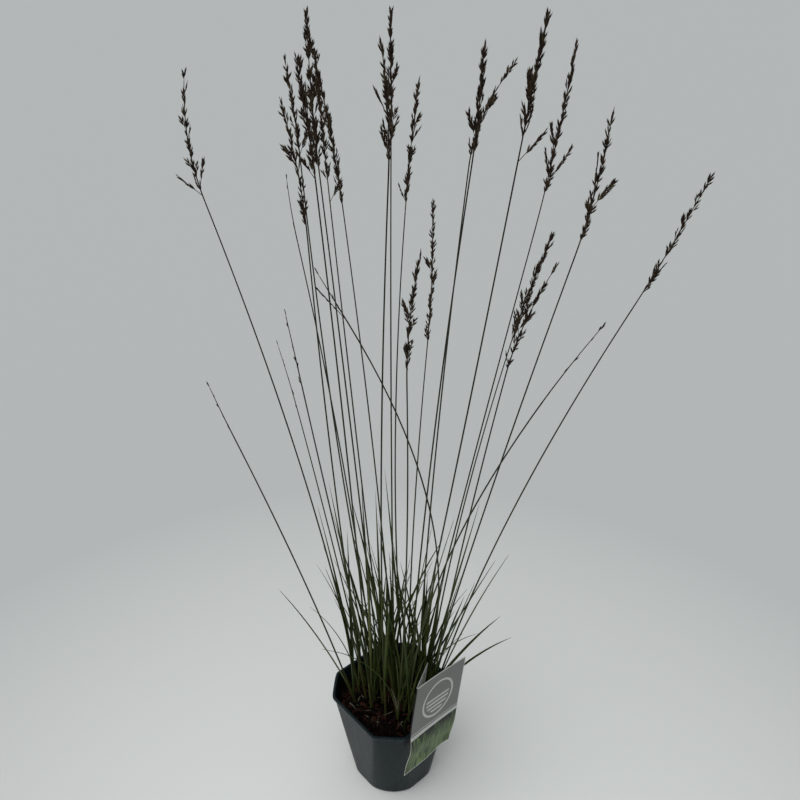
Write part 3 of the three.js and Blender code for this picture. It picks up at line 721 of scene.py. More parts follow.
# A straw lies on the soil along a shallow arc, and is held back from the pot's wall.
def scatterStraws(bm):
    draw = seededRandom(straw["seed"])
    count = straw["points"]
    for _ in range(straw["count"]):
        x, y = soilSpot(draw, straw["inset"])
        turn = 2 * math.pi * draw()
        length = between(draw, straw["length"])
        heading = Vector((math.cos(turn), math.sin(turn), 0))
        bend = Vector((-heading.y, heading.x, 0)) * between(draw, straw["bow"]) * length
        points = []
        for share in evenly(0, 1, count - 1):
            spot = Vector((x, y, 0)) + heading * length * (share - 0.5) + bend * 4 * share * (1 - share)
            limit = wallReach(math.atan2(spot.y, spot.x), soil["edgeLevel"], -pot["wall"])
            limit -= straw["wallGap"]
            if spot.xy.length > limit:
                spot.xy *= limit / spot.xy.length
            spot.z = soilHeight(spot.x, spot.y) + straw["lift"]
            points.append(spot)
        radius = between(draw, straw["radius"])
        radii = [radius * (0.6 + 0.4 * math.sin(math.pi * (i + 0.5) / count)) for i in range(count)]
        sweepStalk(bm, points, radii, 5, tint=draw())


def makeSoil():
    finishPiece(makeSoilBody(), "potting_soil", [soilMixAndPaintedShade()], ["soil"])
    templates = [chipTemplate(seed) for seed in chip["templates"]]
    bm = newShape()
    scatterChips(bm, templates, bark)
    scatterChips(bm, templates, crumb)
    finishPiece(bm, "bark_chips", [litterMaterial("barkBrown", bark)], sharpAngle=25)
    for template in templates:
        bpy.data.meshes.remove(template)
    bm = newShape()
    scatterStraws(bm)
    finishPiece(bm, "fallen_straws", [litterMaterial("strawPale", straw)])
    print("potting mix, bark and straws made")


# Plant label

label = {
    "width": 90,
    "height": 145,
    "thickness": 0.6,
    "middle": (54, -57, 159),
    "turn": 45,  # degrees about +Z, along the pot's diagonal side
    "slant": 9,  # degrees in the card's own plane
    "flap": {"width": 52, "height": 78, "turn": 27},
    "stake": {"width": 9, "length": 124, "point": 10},
    "cornerRadius": 2.5,
    "foldRadius": 0.9,
    "bow": 1.6,  # how far the card's middle stands back from its edges
    "overLip": {"level": -28, "reach": 20, "out": 4.5},  # the pot's lip holds the folded edge out
    "curl": {"middle": 76, "width": 22, "start": -34, "height": 36, "depth": 4},
}


def cardFrame():
    level = Matrix.Rotation(math.radians(label["turn"]), 3, "Z") @ Vector((1, 0, 0))
    face = level.cross(Vector((0, 0, 1))).normalized()
    tilt = Matrix.Rotation(-math.radians(label["slant"]), 3, face)
    return Vector(label["middle"]), tilt @ level, tilt @ Vector((0, 0, 1)), face


# How far the card's face stands out at a place on it, bent by the lip and curled low down.
def cardRelief(x, y):
    width, lip, curl = label["width"], label["overLip"], label["curl"]
    held = lip["out"] * math.exp(-(((y - lip["level"]) / lip["reach"]) ** 2))
    if x < 0:
        return held
    off = 2 * x / width - 1
    bow = label["bow"] * (off * off - 1) * 0.5 * (1 + 0.4 * y / label["height"])
    curled = curl["depth"] * math.exp(-(((x - curl["middle"]) / curl["width"]) ** 2))
    return held * (1 - 0.8 * x / width) + bow - curled * ease((curl["start"] - y) / curl["height"])


# Bends the flat cut-out: x runs across the card from its folded edge, and back along the
# flap where it is below 0; y runs up from the card's middle.
def foldedPlace(x, y):
    middle, across, up, face = cardFrame()
    edge = middle - across * label["width"] / 2 + up * y + face * cardRelief(x, y)
    if x >= 0:
        return edge + across * x
    turn = math.radians(180 - label["flap"]["turn"])
    radius = label["foldRadius"]
    bend = min(-x / radius, turn)
    arc = -across * radius * math.sin(bend) - face * radius * (1 - math.cos(bend))
    return edge + arc + swing(-across, -face, bend) * max(0.0, -x - radius * turn)


def cutOutOutline():
    width, half = label["width"], label["height"] / 2
    flap, stake = label["flap"], label["stake"]
    near, flapEnd = -flap["width"], half - flap["height"]
    inner, stakeEnd = near + stake["width"], half - stake["length"]
    shoulder = stakeEnd + stake["point"]
    return [
        (0, -half), (width, -half), (width, half), (near, half), (near, shoulder),
        (near + stake["width"] / 2, stakeEnd), (inner, shoulder), (inner, flapEnd), (0, flapEnd),
    ]


# The print, in millimetres from the card's lower folded corner. The band, the rule and the ring
# are each given by where they lie and by half their width.
design = {
    "field": 62.0,
    "band": (62.0, 2.6),
    "rule": (67.5, 0.5),
    "middle": (45.0, 103.0),
    "ring": (27.0, 1.5),
    "disc": 21.0,
    "bars": {"waves": 0.95, "from": 0.1, "below": 3.0},
    "margin": 1.1,
    "paper": (0.56, 0.57, 0.55),
    "grey": (0.166, 0.168, 0.161),
    "pale": (0.52, 0.53, 0.51),
    # The flap's dark print is made near black: painted shade from the leaves over it.
    "flap": (0.0040, 0.0040, 0.0036),
}


# A field of grass: dark and light patches, blades over them and shade towards its top.
def grassField(tree, flat, y):
    swept = {"Vector": stretched(tree, flat, (46.0, 6.0, 1.0)), "Scale": 1.0, "Detail": 3.0}
    blades = addNode(tree, "ShaderNodeTexNoise", {**swept, "Distortion": 0.8}).outputs[0]
    patches = noiseAt(tree, flat, 5.0)
    field = blend(tree, spread(tree, patches, 0.35, 0.62), (0.011, 0.032, 0.008), (0.115, 0.180, 0.050))
    field = blend(tree, spread(tree, blades, 0.50, 0.70, 0.0, 0.6), field, (0.24, 0.33, 0.13))
    field = blend(tree, spread(tree, blades, 0.48, 0.34, 0.0, 0.85), field, (0.005, 0.015, 0.006))
    shade = product(tree, spread(tree, y, 30.0, 56.0), spread(tree, patches, 0.44, 0.50))
    return blend(tree, shade, field, (0.0065, 0.010, 0.0085))


# The card's fine relief.
def cardGrain(tree, place):
    return noiseAt(tree, place, 1500.0), 0.08, 0.0002


# A ring round a barred disc on grey, a pale band with a rule over it, and the field of grass.
def labelPrint():
    material, tree = newMaterial("labelPrint")
    place = objectPlace(tree)
    flat = addNode(tree, "ShaderNodeTexCoord").outputs["UV"]
    parts = axesOf(tree, flat)
    width, height, margin = float(label["width"]), float(label["height"]), design["margin"]
    x = addMath(tree, "MULTIPLY", parts[0], width)
    y = addMath(tree, "MULTIPLY", parts[1], height)
    upper = addMath(tree, "GREATER_THAN", y, design["field"])
    colour = blend(tree, upper, grassField(tree, flat, y), design["grey"])
    awayX, awayY = (addMath(tree, "SUBTRACT", *pair) for pair in zip((x, y), design["middle"]))
    spot = addNode(tree, "ShaderNodeCombineXYZ", {0: awayX, 1: awayY}).outputs[0]
    away = addNode(tree, "ShaderNodeVectorMath", {0: spot}, operation="LENGTH").outputs["Value"]
    ring = addMath(tree, "COMPARE", away, *design["ring"])
    disc = addMath(tree, "LESS_THAN", away, design["disc"])
    bars = design["bars"]
    waves = addMath(tree, "SINE", addMath(tree, "MULTIPLY", awayY, bars["waves"]))
    barred = addMath(tree, "GREATER_THAN", waves, bars["from"])
    barred = product(tree, barred, disc, addMath(tree, "LESS_THAN", awayY, bars["below"]))
    band, rule = (addMath(tree, "COMPARE", y, *design[name]) for name in ("band", "rule"))
    for first, second in ((ring, barred), (band, rule)):
        colour = blend(tree, addMath(tree, "MAXIMUM", first, second), colour, design["pale"])
    farEdge = addMath(tree, "GREATER_THAN", x, width - margin)
    inside = addMath(tree, "COMPARE", y, height / 2, height / 2 - margin)
    ends = addMath(tree, "SUBTRACT", 1.0, inside)
    colour = blend(tree, addMath(tree, "MAXIMUM", farEdge, ends), colour, design["paper"])
    # The flap's outside: its dark print with painted shade from the leaves, near black.
    colour = blend(tree, addMath(tree, "LESS_THAN", x, 0.0), colour, design["flap"])
    dusty = useGroup(tree, settledDust, Colour=colour, Dust=(0.14, 0.12, 0.09), Scale=90.0, Amount=0.2)
    rough = spread(tree, noiseAt(tree, place, 30.0), 0.3, 0.7, 0.34, 0.46)
    return finishMaterial(material, dusty["Colour"], rough, 0.2, cardGrain(tree, place))


def labelCard():
    material, tree = newMaterial("labelCard")
    drifted = useGroup(tree, colourDrift, Colour=(0.52, 0.53, 0.505), Scale=40.0, Amount=0.06)
    worn = useGroup(tree, edgeWear, Colour=drifted["Colour"], Worn=(0.42, 0.40, 0.35), Amount=0.5)
    dusty = useGroup(
        tree, settledDust, Colour=worn["Colour"], Dust=(0.16, 0.12, 0.09), Scale=70.0, Amount=0.45
    )
    return finishMaterial(material, dusty["Colour"], 0.42, 0.5, cardGrain(tree, objectPlace(tree)))


def makeLabel():
    bm = newShape()
    corners = [bm.verts.new((x, y, 0)) for x, y in cutOutOutline()]
    bm.faces.new(corners)
    half = label["height"] / 2
    rounded = [v for v in corners if v.co.x > 0 or v.co.y > half - 1]
    bmesh.ops.bevel(
        bm, geom=rounded, offset=label["cornerRadius"], offset_type="OFFSET", affect="VERTICES",
        segments=5, profile=0.5, material=-1,
    )
    foldEnd = label["foldRadius"] * math.radians(180 - label["flap"]["turn"])
    across = [*evenly(0, label["width"], 24)[1:-1], *evenly(-foldEnd, 0, 8), -28]
    cuts = [((x, 0, 0), (1, 0, 0)) for x in across]
    cuts += [((0, y, 0), (0, 1, 0)) for y in evenly(-half, half, 24)[1:-1]]
    for spot, normal in cuts:
        geom = [*bm.verts, *bm.edges, *bm.faces]
        bmesh.ops.bisect_plane(bm, geom=geom, dist=0.01, plane_co=spot, plane_no=normal)
    uv = bm.loops.layers.uv.new("print")
    for face in bm.faces:
        for loop in face.loops:
            loop[uv].uv = (loop.vert.co.x / label["width"], loop.vert.co.y / label["height"] + 0.5)
    onCard = [face for face in bm.faces if face.calc_center_median().x > 0]
    for vert in bm.verts:
        vert.co = foldedPlace(vert.co.x, vert.co.y)
    bmesh.ops.recalc_face_normals(bm, faces=bm.faces)
    if sum(face.normal.dot(cardFrame()[3]) for face in onCard) < 0:
        bmesh.ops.reverse_faces(bm, faces=bm.faces)
    printSide = bm.faces.layers.float_vector.new("printSide")
    for face in bm.faces:
        face[printSide] = face.normal
    bmesh.ops.solidify(bm, geom=list(bm.faces), thickness=label["thickness"])
    bmesh.ops.recalc_face_normals(bm, faces=bm.faces)
    for face in bm.faces:
        face.material_index = 1 if face.normal.dot(face[printSide]) > 0.7 else 0
    bm.faces.layers.float_vector.remove(printSide)
    finishPiece(bm, "plant_label", [labelCard(), labelPrint()], ["label"], sharpAngle=40)
    print("plant label made")


# Growth rules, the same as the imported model's

clearance = 0.3

foot = {"buried": 12, "level": 130, "shares": (0, 0.02, 0.07)}

stem = {
    "steps": 6,
    "knots": [(0, 1.4), (0.02, 1.3), (0.07, 1.2), (0.2, 1.05), (0.6, 0.84), (1, 0.64)],  # share, radius
    "footRadius": 1.5,
    "sides": 10,
    "footRings": 8,
    "footSpacing": 0.012,
    "rings": 26,
}

# Each is added to a piece's number.
seeds = {
    "culm": 100, "tuft": 500, "head": 900, "slimBlade": 1500,
    "culmLooks": 2100, "tuftLooks": 2500, "headLooks": 2900,
}

# A blade's lean from its root to its tip, and how far its bearing may be off, in degrees.
leaf = {
    "width": (3.4, 6), "length": (140, 280), "steps": 5, "tries": 40, "farSpread": (-4, 4),
    "room": 0.4,  # the radius it keeps clear, as a share of its width
}
freeBlade = {"leanIn": (3, 13), "leanOut": (8, 36)}
stemBlades = {
    "rootOffset": 0.8,
    "loose": {"rootShare": 0.015, "spread": 75, **freeBlade},
    "beside": {"rootShare": 0.07, "spread": 45, "leanIn": (1, 5), "leanOut": (2, 13)},
}
crown = {
    "profile": [(-12, 4.05), (-4, 4.5), (0, 4.275), (4.2, 3.6), (8.4, 2.79), (11.9, 1.89), (14, 0.9)],
    "sides": 14,
    "farRoot": 7,
    "rootOffset": 2.9,
    "lowestRoot": 4.2,
    "rootStep": 0.85,
    "blades": {"spread": 40, **freeBlade},
}

# The slim blades between the others, which only the finished plant has.
slimBlades = {
    "every": 2, "rootShare": (0.06, 0.15), "length": (90, 170), "width": (1.8, 2.8),
    "leanIn": (2, 9), "leanOut": (8, 30), "spread": 180, "stemLean": 0.8,
}

# "reach" and "spikelets" are a branchlet's length and its number of spikelets, at the head's
# foot and at its tip. "gaps" is the share of places on the rachis that are left bare.
headKinds = {
    "dense": {
        "spacing": 6.6, "size": 11, "girth": 1.4, "gaps": 0.04, "arms": 2, "armLength": (20, 30),
        "branchlets": 3, "reach": (16, 10), "spikelets": (5, 4), "grain": 1, "opening": 1,
    },
    "medium": {
        "spacing": 7.4, "size": 10.5, "girth": 1.25, "gaps": 0.1, "arms": 2, "armLength": (17, 27),
        "branchlets": 3, "reach": (14, 9), "spikelets": (4, 3), "grain": 0.95, "opening": 1,
    },
    "thin": {
        "spacing": 8, "size": 8, "girth": 0.8, "gaps": 0.25, "arms": 0,
        "branchlets": 1, "reach": (9, 7), "spikelets": (2, 1), "grain": 0.72, "opening": 0.35,
    },
}
headKinds["spreading"] = {**headKinds["dense"], "reach": (25, 13), "spikelets": (7, 5)}

# How far blades keep from the line of each thing already placed, and how far apart the lines
# are that stand for the label.
room = {"stem": 1.5, "head": 1, "lip": 3, "card": 5, "flap": 4, "cardStep": 10, "flapStep": 8}


def culmRow(foot, neck, bow, tip, kind, bare=0, arms=(), far=()):
    return {"foot": foot, "neck": neck, "bow": bow, "tip": tip, "kind": kind,
            "bare": bare, "arms": arms, "far": far}


# Each stem by its foot, the start of its flower head, its bow aside halfway up and its tip.
culms = [
    culmRow((-46, 6), (-180, 25, 800), (14, 0), (-185, 30, 920), "medium",
            arms=[(0.02, 30, 180, 36), (0.08, 30, 0, 26)]),
    culmRow((-51, -10), (-150, -95, 605), (2, 6), (-165, -110, 675), "thin",
            far=[(178, 235, 0, 16, 5.5)]),
    culmRow((-38, 18), (-115, 105, 505), (4, -8), (-140, 130, 600), "thin"),
    culmRow((-24, -8), (-80, -95, 650), (-2, 6), (-90, -110, 745), "thin"),
    culmRow((-25, 15), (-110, 155, 715), (10, -10), (-120, 170, 790), "thin"),
    culmRow((-13, 4), (-90, 65, 830), (-8, -4), (-100, 70, 925), "medium", arms=[(0.02, 28, 0, 24)]),
    culmRow((-37, -4), (-75, -40, 785), (-5, 2), (-90, -45, 905), "medium", arms=[(0.5, 26, 180, 22)]),
    culmRow((-29, -21), (-60, -85, 845), (2, 4), (-70, -90, 945), "dense", arms=[(0.02, 30, 180, 28)]),
    culmRow((-14, -13), (-65, 0, 830), (1, 0), (-70, 5, 970), "dense"),
    culmRow((-11, 18), (-65, 100, 770), (0, -6), (-75, 120, 925), "dense", bare=0.15,
            arms=[(0.02, 28, 0, 34)]),
    culmRow((3, 24), (-55, 150, 750), (5, -10), (-90, 190, 940), "dense"),
    culmRow((-10, -28), (0, -115, 860), (-6, 6), (-5, -125, 960), "medium",
            arms=[(0.13, 24, 180, 16), (0.42, 26, 180, 22)]),
    culmRow((2, 6), (0, 80, 840), (-2, -5), (0, 90, 965), "dense",
            arms=[(0.03, 24, 0, 18), (0.42, 22, 0, 20)]),
    culmRow((15, 20), (15, 160, 750), (-12, -10), (30, 190, 890), "dense",
            arms=[(0.04, 24, 180, 28), (0.5, 20, 0, 26), (0.62, 18, 0, 28)]),
    culmRow((6, -38), (15, -135, 685), (5, 7), (25, -160, 815), "medium", arms=[(0.5, 20, 180, 24)],
            far=[(185, 178, 6, 72, 3.4)]),
    culmRow((20, 6), (40, 90, 605), (-5, -8), (45, 120, 775), "medium", arms=[(0.5, 22, 180, 24)]),
    culmRow((20, -14), (70, -55, 855), (-6, 3), (75, -60, 950), "dense"),
    culmRow((33, 8), (75, 35, 830), (-6, -2), (115, 40, 925), "medium"),
    culmRow((14, -26), (95, -125, 845), (3, 7), (110, -140, 980), "dense", bare=0.36,
            arms=[(0.19, 32, 0, 33), (0.45, 34, 180, 8)]),
    culmRow((32, 22), (150, 80, 745), (-3, -5), (180, 100, 935), "dense", bare=0.24,
            arms=[(0.26, 48, 0, 22), (0.3, 32, 180, 20), (0.42, 34, 180, 18)]),
    culmRow((38, -18), (160, -80, 780), (-3, 4), (175, -90, 905), "medium", bare=0.1,
            arms=[(0.33, 34, 0, 26), (0.4, 42, 180, 9), (0.3, 16, 180, 22)]),
    culmRow((53, -4), (235, -25, 710), (-18, 1), (285, -30, 840), "medium", far=[(8, 138, 35, 69, 4.5)]),
    culmRow((21, -40), (130, -155, 680), (-28, 8), (170, -170, 760), "thin",
            far=[(188, 180, 14, -6, 6)]),
    culmRow((46, 14), (140, 120, 595), (-11, -8), (185, 150, 725), "spreading",
            arms=[(0.1, 36, 0, 26), (0.25, 38, 0, 22), (0.3, 26, 180, 20)]),
    culmRow((46, -27), (105, -100, 675), (-3, 5), (140, -115, 790), "medium"),
    culmRow((30, -3), (-35, -125, 740), (52, 8), (-60, -130, 790), "thin", arms=[(0.02, 45, 210, 10)]),
]

# The leafy shoots between the stems.
tufts = [
    {"place": (5, -12), "blades": 8, "far": []},
    {"place": (42, -8), "blades": 7, "far": [(40, 153, 53, 84, 5)]},
    {"place": (-8, 33), "blades": 7, "far": [(150, 150, 14, 40, 3.5)]},
    {"place": (40, 32), "blades": 7, "far": [(1, 219, 24, 24, 5), (5, 102, 27, 76, 3)]},
    {"place": (-25, 4), "blades": 7, "far": []},
]

placedRods = []


def placeRods(owner, points, radius):
    placedRods.extend((owner, a, b, radius) for a, b in zip(points, points[1:]))


# The shortest distance between two straight lines with ends.
def gapBetween(a1, b1, a2, b2):
    d1, d2, r = b1 - a1, b2 - a2, a1 - a2
    a, e, f, c, b = d1.dot(d1), d2.dot(d2), d2.dot(r), d1.dot(r), d1.dot(d2)
    denominator = a * e - b * b
    s = min(1.0, max(0.0, (b * f - c * e) / denominator)) if denominator > 1e-9 else 0.0
    t = (b * s + f) / e
    if t < 0:
        t, s = 0.0, min(1.0, max(0.0, -c / a))
    elif t > 1:
        t, s = 1.0, min(1.0, max(0.0, (b - c) / a))
    return ((a1 + d1 * s) - (a2 + d2 * t)).length


def hasRoom(owner, points, radius):
    for start, end in zip(points, points[1:]):
        low, high = min(start.z, end.z), max(start.z, end.z)
        for rodOwner, a, b, rodRadius in placedRods:
            apart = radius + rodRadius + 2 * clearance
            if rodOwner == owner or min(a.z, b.z) > high + apart or max(a.z, b.z) < low - apart:
                continue
            if gapBetween(start, end, a, b) < apart:
                return False
    return True


def placeLabelRods():
    middle, across, up, _ = cardFrame()
    width, flap, stake = label["width"], label["flap"], label["stake"]
    halfRod = up * (label["height"] / 2)
    for x in range(-width // 2, width // 2 + 1, room["cardStep"]):
        centre = middle + across * x
        placeRods("label", [centre - halfRod, centre + halfRod], room["card"])
    foldTop = middle - across * (width / 2) + halfRod
    back = Matrix.Rotation(math.radians(flap["turn"]), 3, up) @ across
    for x in range(room["flapStep"], flap["width"] + 1, room["flapStep"]):
        top = foldTop + back * x
        length = stake["length"] if x > flap["width"] - stake["width"] else flap["height"]
        placeRods("label", [top - up * length, top], room["flap"])


# The corners of the pot's rim, which the leaves pass over.
def placeLipRods():
    level = pot["height"] - pot["lip"]["height"] / 2
    reach = coneAt(level) + pot["lip"]["proud"] - pot["wall"]
    corner = math.atan2(rimHalfSide, rimFlat)
    ring = []
    for quarter in range(4):
        for off in (-corner, corner):
            angle = math.radians(pot["turn"]) + quarter * math.pi / 2 + off
            ring.append(Vector((reach * math.cos(angle), reach * math.sin(angle), level)))
    placeRods("pot", [*ring, ring[0]], room["lip"])


def leaning(bearing, lean):
    out = math.sin(lean)
    return Vector((out * math.cos(bearing), out * math.sin(bearing), math.cos(lean)))


def stemPoint(culm, share):
    sway = 4 * share * (1 - share)
    start = Vector((*culm["foot"], foot["level"]))
    return start.lerp(Vector(culm["neck"]), share) + Vector((*culm["bow"], 0)) * sway


def stemPath(culm):
    shares = [*foot["shares"], *evenly(0, 1, stem["steps"])[1:]]
    return [stemPoint(culm, share) for share in shares]


def bladePath(axis, offset, bearing, length, leanIn, leanOut):
    points = [axis + leaning(bearing, math.pi / 2) * offset]
    for i in range(leaf["steps"]):
        lean = mix(leanIn, leanOut, ((i + 0.5) / leaf["steps"]) ** 1.3)
        points.append(points[-1] + leaning(bearing, lean) * (length / leaf["steps"]))
    return points


# Draws a blade's shape again until it stands clear of every other piece.
def growBlade(owner, axis, offset, drawShape):
    for _ in range(leaf["tries"]):
        bearing, length, leanIn, leanOut, width = drawShape()
        points = bladePath(axis, offset, bearing, length, leanIn, leanOut)
        if hasRoom(owner, points, width * leaf["room"]):
            placeRods(owner, points, width * leaf["room"])
            return [{"points": points, "bearing": bearing, "width": width, "axis": axis}]
    return []


def growNearBlade(owner, axis, offset, draw, bearing, rule, lean=0):
    def drawShape():
        return (
            bearing + math.radians(between(draw, (-rule["spread"], rule["spread"]))),
            between(draw, rule.get("length", leaf["length"])),
            lean + math.radians(between(draw, rule["leanIn"])),
            lean + math.radians(between(draw, rule["leanOut"])),
            between(draw, rule.get("width", leaf["width"])),
        )

    return growBlade(owner, axis, offset, drawShape)


# The blades that reach out furthest, each by its bearing, length, two leans and width.
def growFarBlades(owner, axis, offset, draw, rows):
    blades = []
    for bearing, length, leanIn, leanOut, width in rows:
        def drawShape():
            turned = math.radians(bearing + between(draw, leaf["farSpread"]))
            return turned, length, math.radians(leanIn), math.radians(leanOut), width

        blades += growBlade(owner, axis, offset, drawShape)
    return blades


# A stem's bearing and its lean from upright, where its own blade starts.
def stemHeading(culm):
    share = stemBlades["beside"]["rootShare"]
    ahead = (stemPoint(culm, 2 * share) - stemPoint(culm, share)).normalized()
    return math.atan2(ahead.y, ahead.x), math.acos(ahead.z)


# A point over a place on the soil.
def above(place, rise):
    return Vector((*place, foot["level"] + rise))


def growTuft(tuft, number):
    owner = f"tuft_{number}"
    draw = seededRandom(seeds["tuft"] + number)
    place, offset = tuft["place"], crown["rootOffset"]
    grown = growFarBlades(owner, above(place, crown["farRoot"]), offset, draw, tuft["far"])
    for k in range(tuft["blades"]):
        axis = above(place, crown["lowestRoot"] + k * crown["rootStep"])
        bearing = 2 * math.pi * k / tuft["blades"]
        grown += growNearBlade(owner, axis, offset, draw, bearing, crown["blades"])
    return grown


def growCulm(culm, number):
    owner = f"culm_{number:02d}"
    draw = seededRandom(seeds["culm"] + number)
    offset, loose, beside = (stemBlades[key] for key in ("rootOffset", "loose", "beside"))
    looseRoot, besideRoot = stemPoint(culm, loose["rootShare"]), stemPoint(culm, beside["rootShare"])
    outward, lean = stemHeading(culm)
    return [
        *growFarBlades(owner, looseRoot, offset, draw, culm["far"]),
        *growNearBlade(owner, besideRoot, offset, draw, outward, beside, lean),
        *growNearBlade(owner, looseRoot, offset, draw, outward + math.pi, loose),
    ]


def growSlimBlade(culm, number):
    draw = seededRandom(seeds["slimBlade"] + number)
    outward, lean = stemHeading(culm)
    root = stemPoint(culm, between(draw, slimBlades["rootShare"]))
    owner, offset = f"culm_{number:02d}", stemBlades["rootOffset"]
    lean *= slimBlades["stemLean"]
    return growNearBlade(owner, root, offset, draw, outward, slimBlades, lean)


# Stems and leaves

blade = {
    "perStep": 5,
    "halves": 3,
    "fold": (0.55, 0.3),  # how far the edges rise over the midrib, as a share of the half width
    "keel": (0.9, 0.35),  # the midrib's thickness from root to tip
    "edge": 0.22,
    "rootWidth": 0.5,  # the width at the root, as a share of what the growth rule gives
    "widening": 0.36,  # and what the first third of the blade's length adds to that
    "twist": (-40, 40),
    "opening": 22,  # the length over which a sheath opens into its blade
}
sheath = {
    "wrap": 150,  # degrees to either side of its back
    "wall": 0.3,
    "gap": 0.08,  # between the stem and the sheath's inside
    "sunk": 2,  # how far its foot lies under the stem's
    "steps": 5,
    "tuftSunk": 3,  # and the same on a leafy tuft
    "tuftSteps": 4,
    "tuftRadii": (1.6, 1.3),
}


# The blade's outline across: a shallow V that is thick at its keel and thin at its edges.
def bladeSection(half, fold, keel):
    upper, under = [], []
    for k in range(-blade["halves"], blade["halves"] + 1):
        u = k / blade["halves"]
        rise = fold * half * abs(u) ** 1.4
        thick = mix(keel, blade["edge"], abs(u) ** 0.6)
        upper.append((u * half, rise, u))
        under.append((u * half * 0.98, rise - thick, u))
    return upper + under[::-1]


# The sheath's outline: the same corners wrapped round the stem.
def sheathSection(radius):
    inner, outer = [], []
    for k in range(-blade["halves"], blade["halves"] + 1):
        u = k / blade["halves"]
        angle = u * math.radians(sheath["wrap"])
        for side, reach in ((inner, radius), (outer, radius + sheath["wall"])):
            side.append((reach * math.sin(angle), -reach * math.cos(angle), u))
    return inner + outer[::-1]


def lerpSection(first, second, share):
    return [tuple(mix(p, q, share) for p, q in zip(a, b)) for a, b in zip(first, second)]


# A sheath from low on the shoot that opens into its blade.
def sweepBlade(bm, grown, sheathPath, sheathRadii, looks):
    points = smoothPath(grown["points"], blade["perStep"])
    length = sum((b - a).length for a, b in zip(points, points[1:]))
    twist = math.radians(between(looks, blade["twist"]))
    across = Vector((-math.sin(grown["bearing"]), math.cos(grown["bearing"]), 0))
    path = [*sheathPath, *points]
    frames = framesAlong(path, across)
    sections = [sheathSection(radius) for radius in sheathRadii]
    shares = evenly(0, 1, len(points) - 1)
    for i, share in enumerate(shares, len(sheathPath)):
        widened = blade["rootWidth"] + blade["widening"] * min(1, 3 * share)
        half = (grown["width"] / 2) * (1 - share**2.6) * widened
        flat = bladeSection(half, mix(*blade["fold"], share), mix(*blade["keel"], share))
        opened = ease(share * length / blade["opening"])
        sections.append(lerpSection(sheathSection(sheathRadii[-1]), flat, opened))
        side, out = frames[i]
        turned = twist * share**1.5
        frames[i] = (swing(side, out, turned), swing(out, -side, turned))
    sections[-1] = None
    sweep(bm, path, frames, sections, [0.0] * len(sheathPath) + shares, looks())


def leafGreen():
    material, tree = newMaterial("leafGreen")
    along, across, tint = (readMark(tree, name) for name in ("along", "across", "tint"))
    green = blend(tree, tint, (0.0066, 0.0165, 0.0014), (0.060, 0.082, 0.0180))
    yellowed = blend(tree, spread(tree, tint, 0.80, 1.0, 0.0, 0.6), green, (0.095, 0.094, 0.028))
    pale = blend(tree, spread(tree, along, 0.0, 0.14), (0.042, 0.046, 0.013), yellowed)
    tipped = blend(tree, spread(tree, along, 0.92, 1.0, 0.0, 0.8), pale, (0.080, 0.058, 0.028))
    rib = spread(tree, addMath(tree, "ABSOLUTE", across), 0.05, 0.16, 0.35, 0.0)
    ribbed = blend(tree, rib, tipped, (0.072, 0.094, 0.028))
    drifted = useGroup(tree, colourDrift, Colour=ribbed, Scale=55.0, Amount=0.28)
    rough = spread(tree, drifted["Mask"], 0.0, 1.0, 0.42, 0.58)
    veins = addMath(tree, "SINE", addMath(tree, "MULTIPLY", across, 26.0))
    return finishMaterial(material, drifted["Colour"], rough, 0.12, (veins, 0.25, 0.0002))


# Each colour fades into the next between two levels, in metres.
def stemGreen():
    material, tree = newMaterial("stemGreen")
    level = axesOf(tree, objectPlace(tree))[2]
    colour = (0.050, 0.044, 0.015)
    for low, high, nextColour in (
        (0.130, 0.21, (0.034, 0.043, 0.0120)),
        (0.28, 0.55, (0.0150, 0.0180, 0.0064)),
        (0.55, 0.85, (0.0120, 0.0110, 0.0064)),
    ):
        colour = blend(tree, spread(tree, level, low, high), colour, nextColour)
    fibres = useGroup(tree, plantFibres, Fineness=1500.0)
    streak = spread(tree, fibres["Streak"], 0.0, 1.0, 0.0, 0.3)
    streaked = blend(tree, streak, colour, (0.042, 0.046, 0.019))
    drifted = useGroup(tree, colourDrift, Colour=streaked, Scale=30.0, Amount=0.25)
    return finishMaterial(material, drifted["Colour"], 0.5, 0.14, (fibres["Height"], 0.35, 0.0003))


# The stem's radius at a share of its height, swollen at its foot.
def stemRadius(share):
    for (low, first), (high, second) in zip(stem["knots"], stem["knots"][1:]):
        if share <= high:
            return mix(first, second, ease((share - low) / (high - low)))
    return stem["knots"][-1][1]


def makeCulm(culm, number, grown, materials):
    looks = seededRandom(seeds["culmLooks"] + number)
    bm = newShape()
    footEnd = stem["footRings"] * stem["footSpacing"]
    shares = evenly(0, footEnd, stem["footRings"])[:-1] + evenly(0.1, 1, stem["rings"])
    points = [stemPoint(culm, share) for share in shares]
    below = points[0] - Vector((0, 0, foot["buried"]))
    radii = [stem["footRadius"], *[stemRadius(share) for share in shares]]
    sweepStalk(bm, [below, *points], radii, stem["sides"], looks(), shares=[0, *shares])
    stemFaces = len(bm.faces)
    for leafBlade in grown:
        rootShare = (leafBlade["axis"].z - foot["level"]) / (culm["neck"][2] - foot["level"])
        outwards = leaning(leafBlade["bearing"], math.pi / 2) * stemBlades["rootOffset"]
        path, radii = [], []
        for done in evenly(0, 1, sheath["steps"])[:-1]:
            sunk = Vector((0, 0, sheath["sunk"] * (1 - done)))
            path.append(stemPoint(culm, rootShare * done) + outwards * done - sunk)
            radii.append(stemRadius(rootShare * done) + sheath["gap"])
        sweepBlade(bm, leafBlade, path, radii, looks)
    paintSince(bm, stemFaces, 1)
    finishPiece(bm, f"moor_grass_stem_{number:02d}", materials, [f"culm_{number:02d}"])


